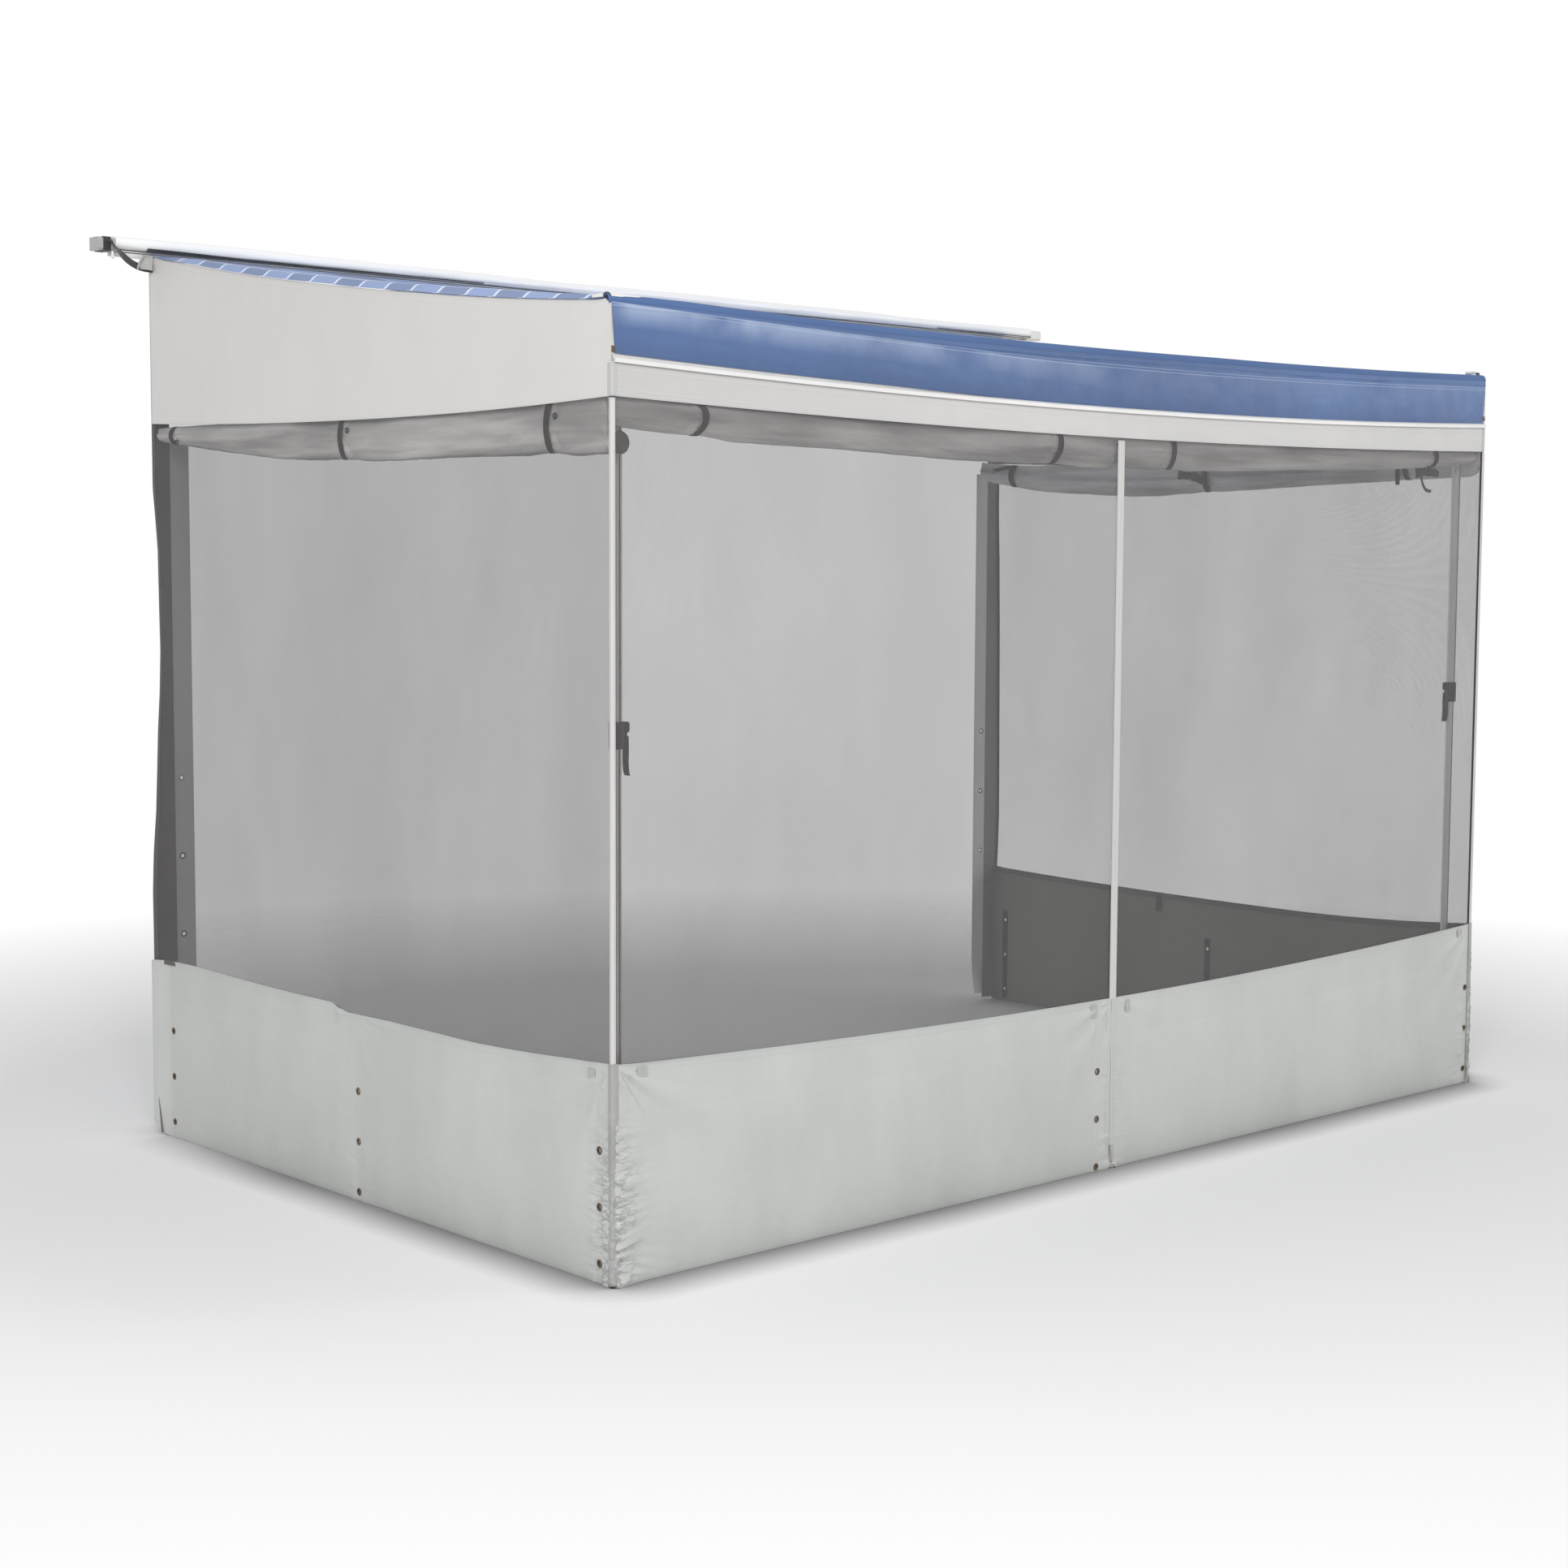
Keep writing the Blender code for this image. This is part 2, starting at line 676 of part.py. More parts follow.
def roll_rings(stations, straps, foot, place):
    """Sections of a flattened roll; it is drawn in at each strap, whose band stands proud."""
    marks = list(stations)
    half_strap = ROLL_STRAP_WIDTH / 2
    edge = 0.0004
    for s in straps:
        marks += [s - half_strap - edge, s - half_strap, s + half_strap, s + half_strap + edge]
    rings = []
    for s in sorted(marks):
        nearest = min((abs(s - strap) for strap in straps), default=1.0)
        tight = math.exp(-(max(nearest - half_strap, 0.0) / STRAP_REACH) ** 2)
        band = ROLL_STRAP if nearest <= half_strap + edge / 4 else 0.0
        end = min(s - marks[0], marks[len(stations) - 1] - s) / ROLL_END_LENGTH
        plump = ROLL_END_SIZE + (1.0 - ROLL_END_SIZE) * math.sqrt(min(max(end, 0.0), 1.0))
        low = foot(s)
        half_height = (ROLL_TOP - low) / 2 * plump * (1.0 - STRAP_DRAW * tight)
        depth = (ROLL_THICKNESS / 2 - ROLL_STRAP) * plump * (1.0 - STRAP_PINCH * tight)
        half_height += band
        depth += band
        centre = (ROLL_TOP + low) / 2
        ring = []
        for i in range(ROLL_SIDES):
            angle = 2 * math.pi * i / ROLL_SIDES
            across = depth * math.copysign(abs(math.cos(angle)) ** 0.8, math.cos(angle))
            ring.append(place(s, across, centre + half_height * math.sin(angle)))
        rings.append(ring)
    return rings


def rolled_curtains():
    """Flattened rolls strapped up inside the screens, one on each side and two on the front."""
    middle = MESH + SEAT_GAP + (ROLL_THICKNESS / 2 - ROLL_STRAP) * (1.0 - STRAP_PINCH) + ROLL_STRAP

    def left_foot(y):
        rise = 0.092 * max((y - 0.7) / 1.41, 0.0) ** 2 - 0.008 * max((0.4 - y) / 0.4, 0.0)
        return ROLL_TOP - LEFT_ROLL_HEIGHT + rise

    def right_foot(y):
        rise = 0.054 * max((y - 1.3) / 0.8, 0.0) ** 2 + 0.038 * max((1.3 - y) / 1.3, 0.0)
        return ROLL_TOP - RIGHT_ROLL_HEIGHT + rise
    feet = {"left": left_foot, "right": right_foot}
    for word, side in SIDES:
        rings = roll_rings(
            spread(ROLL_END_GAP, SIDE_END - 2 * ROLL_END_GAP, 14), SIDE_STRAPS[word], feet[word],
            lambda s, across, z, side=side: Vector((side * (HALF - middle - across), s, z)))
        add_object("roll_" + word, swept(rings), curtain_fabric(), sharp=50.0)

    def front_foot(x):
        return ROLL_TOP - FRONT_ROLL_HEIGHT + 0.040 * (abs(x) / HALF) ** 2.5
    start = HALF - middle - ROLL_THICKNESS / 2 - 0.004
    spans = (
        ("left", -start, CENTRE_ZIP_X - 2 * ROLL_END_GAP),
        ("right", CENTRE_ZIP_X + 2 * ROLL_END_GAP, start))
    for word, low, high in spans:
        rings = roll_rings(
            spread(low, high, 12), FRONT_STRAPS[word], front_foot,
            lambda s, across, z: Vector((s, middle + across, z)))
        add_object("roll_front_" + word, swept(rings), curtain_fabric(), sharp=50.0)


# Front beam, canopy and its drop

def beam_top_arc(radius):
    return arc((BEAM_FRONT + BEAM_TOP_RADIUS, BEAM_TOP_CENTRE), radius, 0.0, 180.0, 8)


def beam_outline():
    """The extrusion's section: a tall hollow with a round top and a grooved lip at its foot."""
    slit = VINYL / 2 + SLIT_CLEARANCE
    centre_y = -OUTER + VINYL / 2
    room = KEDER_RADIUS + KEDER_CLEARANCE
    floor = BEAM_FOOT + GROOVE_WALL
    roof = floor + 2 * KEDER_RADIUS + KEDER_CLEARANCE
    return [
        (RAIL_LIP_FRONT, BEAM_FOOT), (centre_y - slit, BEAM_FOOT), (centre_y - slit, floor),
        (centre_y - room, floor), (centre_y - room, roof), (centre_y + room, roof),
        (centre_y + room, floor), (centre_y + slit, floor), (centre_y + slit, BEAM_FOOT),
        (BEAM_BACK, BEAM_FOOT)] + beam_top_arc(BEAM_TOP_RADIUS) + [
        (BEAM_FRONT, RAIL_LIP_TOP + LIP_RISE), (RAIL_LIP_FRONT + LIP_CHAMFER, RAIL_LIP_TOP),
        (RAIL_LIP_FRONT, RAIL_LIP_TOP - LIP_CHAMFER)]


def beam_hollow():
    """The closed chamber inside the beam's tall part."""
    low = BEAM_FOOT + BEAM_CHAMBER_FOOT
    top = beam_top_arc(BEAM_TOP_RADIUS - BEAM_WALL)
    return [(BEAM_FRONT + BEAM_WALL, low), (BEAM_BACK - BEAM_WALL, low)] + top


def beam_cap_outline():
    """The beam's outline without the groove, just short of the canopy's wrap."""
    return [
        (BEAM_FRONT, BEAM_FOOT + 0.020), (BEAM_BACK, BEAM_FOOT + 0.004)] + beam_top_arc(BEAM_TOP_RADIUS)


def front_beam():
    end = HALF - CAP_THICKNESS - 3 * SEAT_GAP
    stations = spread(-end, end, BEAM_CELLS)
    bm = bmesh.new()
    for outline in (beam_outline(), beam_hollow()):
        skin(bm, [[Vector((x, y, z - dip(x, BEAM_DIP))) for y, z in outline] for x in stations])
    for x in (stations[0], stations[-1]):
        edges = [edge for edge in bm.edges if edge.is_boundary and abs(edge.verts[0].co.x - x) < 1e-6]
        bmesh.ops.triangle_fill(bm, use_beauty=True, edges=edges)
    add_object("front_beam", bm, white_metal())
    for word, side in SIDES:
        outer = side * (HALF - SEAT_GAP)
        inner = outer - side * CAP_THICKNESS
        drop = dip(end, BEAM_DIP)
        rings = [[Vector((x, y, z - drop)) for y, z in beam_cap_outline()] for x in (inner, outer)]
        add_object("beam_cap_" + word, swept(rings), dark_plastic())


def canopy():
    """One cloth from the rear rail's groove, over the beam's top and a little way down its front."""
    centre = (BEAM_FRONT + BEAM_TOP_RADIUS, BEAM_TOP_CENTRE)
    under = BEAM_TOP_RADIUS + SEAT_GAP
    over = under + CANOPY_THICKNESS
    half = HALF + CANOPY_OVERHANG
    bead_y = ROOM_DEPTH - RAIL_PLATE - RAIL_BEAD_INSET
    rings = []
    for x in spread(-half, half, BEAM_CELLS):
        drop = max(dip(x, BEAM_DIP), 0.0)
        ring = [Vector((x, centre[0] - under, CANOPY_WRAP_FOOT - drop))]
        ring += [Vector((x, y, z - drop)) for y, z in arc(centre, under, 180.0, 112.5, 3)]
        ring += [Vector((x, y, canopy_z(x, y))) for y in canopy_stations()]
        middle = CANOPY_REAR_Z + CANOPY_THICKNESS / 2
        ring += [Vector((x, y, z)) for y, z in arc((bead_y, middle), KEDER_RADIUS, -165.0, 165.0, 8)]
        ring += [Vector((x, y, canopy_z(x, y) + CANOPY_THICKNESS)) for y in reversed(canopy_stations())]
        ring += [Vector((x, y, z - drop)) for y, z in arc(centre, over, 112.5, 180.0, 3)]
        ring.append(Vector((x, centre[0] - over, CANOPY_WRAP_FOOT - drop)))
        rings.append(ring)
    add_object("canopy", swept(rings), blue_canopy())


def front_valance():
    """The canopy's drop over the beam's front: slanted ends and a soft swell."""
    columns = []
    foot = RAIL_LIP_TOP + LIP_RISE + 2 * SEAT_GAP
    top = CANOPY_WRAP_FOOT + VALANCE_LAP
    front = canopy_wrap_front() - SEAT_GAP - VINYL
    for t in spread(-1.0, 1.0, BEAM_CELLS):
        column = []
        for v in spread(0.0, 1.0, 6):
            x = t * (HALF - VALANCE_INSET * (1.0 - v))
            swell = VALANCE_SWELL * math.sin(math.pi * v) * (1.0 - t ** 6)
            wave = VALANCE_WAVE * (1.0 + math.sin(9.0 * x)) * math.sin(math.pi * v) * (1.0 - t ** 6)
            z = foot + (top - foot) * v - max(dip(x, BEAM_DIP), 0.0)
            column.append(Vector((x, front - swell - wave, z)))
        columns.append(column)
    add_object("front_valance", sheet(columns, Vector((0.0, 1.0, 0.0)), VINYL), blue_canopy())


# Rear rail and bag

def wall_rail():
    """A flat extrusion with a groove along its foot for the canopy's bead."""
    back = ROOM_DEPTH
    face = back - RAIL_PLATE
    nose = back - RAIL_NOSE_DEPTH - 0.001
    middle = CANOPY_REAR_Z + CANOPY_THICKNESS / 2
    slit = CANOPY_THICKNESS / 2 + SLIT_CLEARANCE
    room = KEDER_RADIUS + KEDER_CLEARANCE
    bead_y = face - RAIL_BEAD_INSET
    groove = [
        (nose, middle + slit), (bead_y - room, middle + slit), (bead_y - room, middle + room),
        (bead_y + room, middle + room), (bead_y + room, middle - room),
        (bead_y - room, middle - room), (bead_y - room, middle - slit), (nose, middle - slit)]
    outline = [
        (back, RAIL_FOOT), (back, RAIL_TOP), (face, RAIL_TOP), (face, RAIL_SHOULDER),
        (nose, RAIL_SHOULDER)] + groove + [(nose, RAIL_FOOT + 0.001), (nose + 0.001, RAIL_FOOT)]
    end = HALF + RAIL_OVERHANG - HOUSING_LENGTH
    rings = [[Vector((x, y, z)) for y, z in outline] for x in (-end, end)]
    add_object("wall_rail", swept(rings), white_metal())


def end_housings():
    """Moulded housings that close the ends of the rail and the bag."""
    front = ROOM_DEPTH - HOUSING_DEPTH
    foot = RAIL_FOOT + HOUSING_LIFT
    top = RAIL_TOP + HOUSING_TOP
    outline = [
        (ROOM_DEPTH, foot), (ROOM_DEPTH, top), (front + HOUSING_CORNER, top), (front, top - HOUSING_CORNER),
        (front, foot + HOUSING_CORNER), (front + HOUSING_CORNER, foot)]
    for word, side in SIDES:
        outer = side * (HALF + RAIL_OVERHANG)
        inner = outer - side * (HOUSING_LENGTH - SEAT_GAP)
        rings = [[Vector((x, y, z)) for y, z in outline] for x in (inner, outer)]
        add_object("rail_cap_" + word, swept(rings), grey_plastic())


def bag_section(x, grow, start, end, steps):
    """Part of the bag's soft oval section at x, in (y, z)."""
    puff = 0.0018 * math.sin(3.1 * x) + 0.0012 * math.sin(7.3 * x + 1.0)
    depth = BAG_DEPTH / 2 + grow
    height = BAG_HEIGHT / 2 + puff / 2 + grow
    centre_y = ROOM_DEPTH - RAIL_PLATE - BAG_SEAT - BAG_DEPTH / 2
    points = []
    for i in range(steps + 1):
        angle = math.radians(start + (end - start) * i / steps)
        across = math.copysign(abs(math.cos(angle)) ** 0.85, math.cos(angle))
        rise = math.copysign(abs(math.sin(angle)) ** 0.85, math.sin(angle))
        points.append(Vector((x, centre_y + depth * across, BAG_CENTRE_Z + puff / 2 + height * rise)))
    return points


def storage_bag():
    """The rolled-up bag on the rail, with its zip along the front of its foot."""
    end = HALF + RAIL_OVERHANG - HOUSING_LENGTH
    rings = [bag_section(x, 0.0, 0.0, 360.0 - 22.5, 15) for x in spread(-end, end, BAG_CELLS)]
    add_object("storage_bag", swept(rings), bag_vinyl(), sharp=60.0)
    rings = []
    under_gap = 3 * SEAT_GAP
    for x in spread(-(HALF + BAG_ZIP_OVERHANG), end, BAG_CELLS):
        under = bag_section(x, under_gap, BAG_ZIP_START, BAG_ZIP_END, 2)
        over = bag_section(x, under_gap + BAG_ZIP_THICKNESS, BAG_ZIP_END, BAG_ZIP_START, 2)
        rings.append(under + over)
    add_object("bag_zip", swept(rings), dark_fabric())


def bag_strap():
    """A webbing strap that runs from the left end housing down to the gable's top corner."""
    start = Vector((-(HALF + RAIL_OVERHANG - STRAP_TOP_INSET), 0.0, STRAP_TOP_Z))
    end = Vector((-(HALF + OUTER + SEAT_GAP), 0.0, STRAP_FOOT_Z))
    middle_y = ROOM_DEPTH - HOUSING_DEPTH - 5 * SEAT_GAP - BAG_ZIP_THICKNESS - STRAP_WIDTH / 2

    def spot(t):
        bounded = min(max(t, 0.0), 1.0)
        point = start.lerp(end, bounded)
        point.z -= STRAP_DROP * math.sin(math.pi * bounded)
        return point
    rings = []
    for t in spread(0.0, 1.0, 12):
        run = (spot(t + 0.01) - spot(t - 0.01)).normalized()
        up = Vector((-run.z, 0.0, run.x)) if t < 1.0 else Vector((0.0, 0.0, 1.0))
        ring = []
        for y, lift in ((-1, 0), (1, 0), (1, 1), (-1, 1)):
            across = Vector((0.0, middle_y + y * STRAP_WIDTH / 2, 0.0))
            ring.append(spot(t) + across + up * (lift * STRAP_THICKNESS))
        rings.append(ring)
    add_object("bag_strap_left", swept(rings), dark_fabric())


# Zips

def corner_outline(side, layer, thickness, leg):
    """An angle section wrapped round a front corner, in (x, y)."""
    outer_x = side * (HALF + layer + thickness)
    inner_x = side * (HALF + layer)
    outer_y = -(layer + thickness)
    inner_y = -layer
    return [
        (outer_x, outer_y), (outer_x, leg), (inner_x, leg), (inner_x, inner_y),
        (side * (HALF - leg), inner_y), (side * (HALF - leg), outer_y)]


def zips():
    """Zip tapes over both front corners and up the front's middle."""
    layer = OUTER + SEAT_GAP
    for word, side in SIDES:
        outline = corner_outline(side, layer, ZIP_THICKNESS, ZIP_LEG)
        bm = prism(outline, ZIP_FOOT, HEADER_FOOT - ZIP_TOP_GAP, Matrix.Identity(4))
        add_object("corner_zip_" + word, bm, white_tape())
    bm = box(
        (CENTRE_ZIP_X - ZIP_HALF_WIDTH, -layer - ZIP_THICKNESS, ZIP_FOOT),
        (CENTRE_ZIP_X + ZIP_HALF_WIDTH, -layer, CENTRE_ZIP_TOP))
    add_object("centre_zip", bm, white_tape())


def pull_tab(name, centre, outward):
    """The slider's hanging pull, a thin rounded blade just outside the slider."""
    turn = Vector((0.0, -1.0, 0.0)).rotation_difference(outward).to_matrix().to_4x4()
    outline = arc((0.0, 0.0), PULL_TOP_RADIUS, 0.0, 180.0, 6)
    outline += arc((0.0, -PULL_LENGTH), PULL_FOOT_RADIUS, 180.0, 360.0, 6)
    place = Matrix.Translation(centre) @ turn @ Matrix.Rotation(math.radians(90.0), 4, "X")
    return add_object(name, prism(outline, 0.0, PULL_THICKNESS, place), bare_metal())


def zip_sliders():
    """Sliders with their pulls, parked at the feet of the closed zips."""
    layer = OUTER + 2 * SEAT_GAP + ZIP_THICKNESS
    foot = ZIP_FOOT + PULL_LENGTH
    for word, side in SIDES:
        outline = corner_outline(side, layer, SLIDER_THICKNESS, ZIP_LEG - 0.002)
        bm = prism(outline, foot, foot + SLIDER_HEIGHT, Matrix.Identity(4))
        pivot = (side * HALF, 0.0, foot)
        slider = add_object("zip_slider_" + word, bm, bare_metal(), pivot)
        face = -layer - SLIDER_THICKNESS + PULL_SINK
        centre = Vector((side * (HALF - PULL_TOP_RADIUS), face, foot + PULL_RISE))
        combine(slider, pull_tab("pull_" + word, centre, Vector((0.0, -1.0, 0.0))), "UNION")
    bm = box(
        (CENTRE_ZIP_X - CENTRE_SLIDER_HALF, -layer - SLIDER_THICKNESS, foot),
        (CENTRE_ZIP_X + CENTRE_SLIDER_HALF, -layer, foot + SLIDER_HEIGHT))
    slider = add_object("zip_slider_centre", bm, bare_metal(), (CENTRE_ZIP_X, 0.0, foot))
    centre = Vector((CENTRE_ZIP_X, -layer - SLIDER_THICKNESS + PULL_SINK, foot + PULL_RISE))
    combine(slider, pull_tab("pull_centre", centre, Vector((0.0, -1.0, 0.0))), "UNION")


# Legs

def leg_axis(side):
    return Matrix.Translation((side * (HALF - LEG_INSET), LEG_INSET, 0.0))


def across_axis(side, x, z):
    """A frame whose Z runs to the rear, set on a cross pin beside the leg's axis."""
    place = leg_axis(side) @ Matrix.Translation((x, 0.0, z))
    return place @ Matrix.Rotation(math.radians(-90.0), 4, "X")


def leg_brackets():
    """A plate on the beam's back with a spacer, a pin and the pin's head."""
    plate_y = BEAM_BACK + SEAT_GAP
    spacer_end = -HEAD_WIDTH / 2 - SEAT_GAP
    head_start = HEAD_WIDTH / 2 + SEAT_GAP
    sunk = plate_y + 0.001 - LEG_INSET
    for word, side in SIDES:
        x = side * (HALF - LEG_INSET)
        bm = box(
            (x - LEG_PLATE_HALF_WIDTH, plate_y, LEG_PIVOT_Z - LEG_PLATE_DROP),
            (x + LEG_PLATE_HALF_WIDTH, plate_y + PLATE_THICKNESS, LEG_PIVOT_Z + LEG_PLATE_RISE))
        bracket = add_object("leg_bracket_" + word, bm, white_metal())
        profile = [
            (0.0, sunk), (0.009, sunk), (0.009, spacer_end), (PIN_RADIUS, spacer_end),
            (PIN_RADIUS, head_start), (0.007, head_start), (0.006, head_start + 0.003),
            (0.0, head_start + 0.003)]
        pin = add_object("pin_" + word, turned(profile, across_axis(side, 0.0, LEG_PIVOT_Z)), bare_metal())
        combine(bracket, pin, "UNION")


def leg_heads():
    """Pivot plugs: a rounded tongue on the pin and a spigot pressed into the upper tube."""
    for word, side in SIDES:
        pivot = (side * (HALF - LEG_INSET), LEG_INSET, LEG_PIVOT_Z)
        foot = UPPER_TOP + SEAT_GAP - LEG_PIVOT_Z
        outline = arc((0.0, 0.0), HEAD_RADIUS, 180.0, 360.0, 10)
        outline += [(HEAD_RADIUS, -foot), (-HEAD_RADIUS, -foot)]
        place = across_axis(side, 0.0, LEG_PIVOT_Z)
        tongue = prism(outline, -HEAD_WIDTH / 2, HEAD_WIDTH / 2, place)
        head = add_object("leg_head_" + word, tongue, dark_plastic(), pivot)
        radius = UPPER_RADIUS - TUBE_WALL - SEAT_GAP
        low = UPPER_TOP - SPIGOT_LENGTH
        high = UPPER_TOP + 0.004
        profile = [(0.0, low), (radius - 0.001, low), (radius, low + 0.001), (radius, high), (0.0, high)]
        spigot = turned(profile, leg_axis(side))
        combine(head, add_object("spigot_" + word, spigot, dark_plastic()), "UNION")
        reach = 1.5 * HEAD_WIDTH
        bore_radius = PIN_RADIUS + PIVOT_CLEARANCE
        bore = turned([(0.0, reach), (bore_radius, reach), (bore_radius, -reach), (0.0, -reach)], place)
        combine(head, add_object("bore_" + word, bore, dark_plastic()), "DIFFERENCE")


def leg_tubes():
    """The upper and lower tube of each leg and the lower tube's rubber foot."""
    inner = LOWER_RADIUS + SEAT_GAP
    profile = [
        (0.0, GROUND), (FOOT_RADIUS - 0.002, GROUND), (FOOT_RADIUS, 0.002), (FOOT_RADIUS, 0.008),
        (FOOT_RADIUS - 0.0025, FOOT_HEIGHT - 0.002), (FOOT_RADIUS - 0.004, FOOT_HEIGHT),
        (inner, FOOT_HEIGHT), (inner, FOOT_FLOOR), (0.0, FOOT_FLOOR)]
    for word, side in SIDES:
        place = leg_axis(side)
        pivot = (side * (HALF - LEG_INSET), LEG_INSET, LEG_PIVOT_Z)
        upper = tube(UPPER_RADIUS, TUBE_WALL, UPPER_FOOT, UPPER_TOP, place)
        add_object("leg_upper_" + word, upper, white_metal(), pivot)
        lower = tube(LOWER_RADIUS, TUBE_WALL, FOOT_FLOOR + SEAT_GAP, LOWER_TOP, place)
        add_object("leg_lower_" + word, lower, white_metal(), pivot)
        add_object("foot_" + word, turned(profile, place), dark_rubber(), pivot)


def leg_clamps():
    """A split collar with two ears; its cam lever hangs down beside the lower tube."""
    for word, side in SIDES:
        place = leg_axis(side)
        upper_bore = UPPER_RADIUS + SEAT_GAP
        lower_bore = LOWER_RADIUS + SLIDE_CLEARANCE
        step = UPPER_FOOT - SEAT_GAP
        profile = [
            (lower_bore, CLAMP_FOOT), (CLAMP_RADIUS - CLAMP_CHAMFER, CLAMP_FOOT),
            (CLAMP_RADIUS, CLAMP_FOOT + CLAMP_CHAMFER), (CLAMP_RADIUS, CLAMP_TOP - CLAMP_CHAMFER),
            (CLAMP_RADIUS - CLAMP_CHAMFER, CLAMP_TOP), (upper_bore, CLAMP_TOP), (upper_bore, step),
            (lower_bore, step)]
        pivot = (side * (HALF - LEG_INSET), LEG_INSET, LEG_PIVOT_Z)
        clamp = add_object("leg_clamp_" + word, turned(profile, place), dark_plastic(), pivot)
        inward = -side
        for number, (low_y, high_y) in enumerate(((-EAR_OUTER, -EAR_GAP), (EAR_GAP, EAR_OUTER))):
            corner = EAR_HALF_HEIGHT - EAR_CORNER
            outline = [(EAR_START, -EAR_HALF_HEIGHT), (EAR_START, EAR_HALF_HEIGHT)]
            outline += arc((LEVER_PIVOT_OFFSET, corner), EAR_CORNER, 90.0, 0.0, 4)
            outline += arc((LEVER_PIVOT_OFFSET, -corner), EAR_CORNER, 0.0, -90.0, 4)
            points = [(inward * x, -z) for x, z in outline]
            ear_place = across_axis(side, 0.0, LEVER_PIVOT_Z)
            ear = add_object(f"ear_{word}_{number}", prism(points, low_y, high_y, ear_place), dark_plastic())
            combine(clamp, ear, "UNION")
        pin_place = across_axis(side, inward * LEVER_PIVOT_OFFSET, LEVER_PIVOT_Z)
        reach = EAR_OUTER - 0.001
        pin = turned([(0.0, -reach), (LEVER_PIN_RADIUS, -reach), (LEVER_PIN_RADIUS, reach), (0.0, reach)],
                     pin_place, 12)
        combine(clamp, add_object("lever_pin_" + word, pin, dark_plastic()), "UNION")
        low_x, high_x = sorted((inward * (LOWER_RADIUS + 0.001), inward * (CLAMP_RADIUS + 0.004)))
        centre_x = side * (HALF - LEG_INSET)
        slit = box((centre_x + low_x, LEG_INSET - CLAMP_SLIT / 2, CLAMP_FOOT - 0.01),
                   (centre_x + high_x, LEG_INSET + CLAMP_SLIT / 2, CLAMP_TOP + 0.01))
        combine(clamp, add_object("slit_" + word, slit, dark_plastic()), "DIFFERENCE")


def leg_levers():
    """The cam sits between the ears; the paddle hangs below them and curls out at its tip."""
    tip = -LEVER_LENGTH
    cam_foot = -EAR_HALF_HEIGHT - 0.011
    start = -EAR_HALF_HEIGHT - 0.0075
    cam = arc((0.0, 0.0), CAM_RADIUS, 0.0, 180.0, 8) + [(-0.0040, cam_foot), (0.0030, cam_foot)]
    blade = [
        (-0.0045, start), (0.0035, start), (0.0045, -0.050), (0.0035, -0.085), (0.0060, tip + 0.004),
        (0.0085, tip), (0.0060, tip - 0.001), (0.0015, tip + 0.008), (-0.0010, -0.085), (-0.0010, -0.050)]
    half = EAR_GAP - SEAT_GAP
    radius = LEVER_PIN_RADIUS + PIVOT_CLEARANCE
    for word, side in SIDES:
        inward = -side
        place = across_axis(side, inward * LEVER_PIVOT_OFFSET, LEVER_PIVOT_Z)
        pivot = (side * (HALF - LEG_INSET) + inward * LEVER_PIVOT_OFFSET, LEG_INSET, LEVER_PIVOT_Z)
        points = [(inward * x, -z) for x, z in cam]
        lever = add_object("leg_lever_" + word, prism(points, -half, half, place), dark_plastic(), pivot)
        points = [(inward * x, -z) for x, z in blade]
        paddle = prism(points, -PADDLE_HALF_WIDTH, PADDLE_HALF_WIDTH, place)
        combine(lever, add_object("paddle_" + word, paddle, dark_plastic()), "UNION")
        bore = turned([(0.0, -0.02), (radius, -0.02), (radius, 0.02), (0.0, 0.02)], place, 12)
        combine(lever, add_object("lever_bore_" + word, bore, dark_plastic()), "DIFFERENCE")


# Rafters

def rafter_ends(side):
    front = Vector((side * (HALF - RAFTER_INSET), RAFTER_FRONT_Y, RAFTER_FRONT_Z))
    rear = Vector((side * (HALF - RAFTER_INSET), ROOM_DEPTH - CRADLE_WALL - RAFTER_REAR_GAP, RAFTER_REAR_Z))
    return front, rear


def rafter_axis(side):
    """A frame whose Z runs up the rafter from its front pivot."""
    front, rear = rafter_ends(side)
    run = (rear - front).normalized()
    across = Vector((1.0, 0.0, 0.0))
    up = run.cross(across)
    turn = Matrix((across, up, run)).transposed().to_4x4()
    return Matrix.Translation(front) @ turn


def rafter_length():
    front, rear = rafter_ends(1.0)
    return (rear - front).length


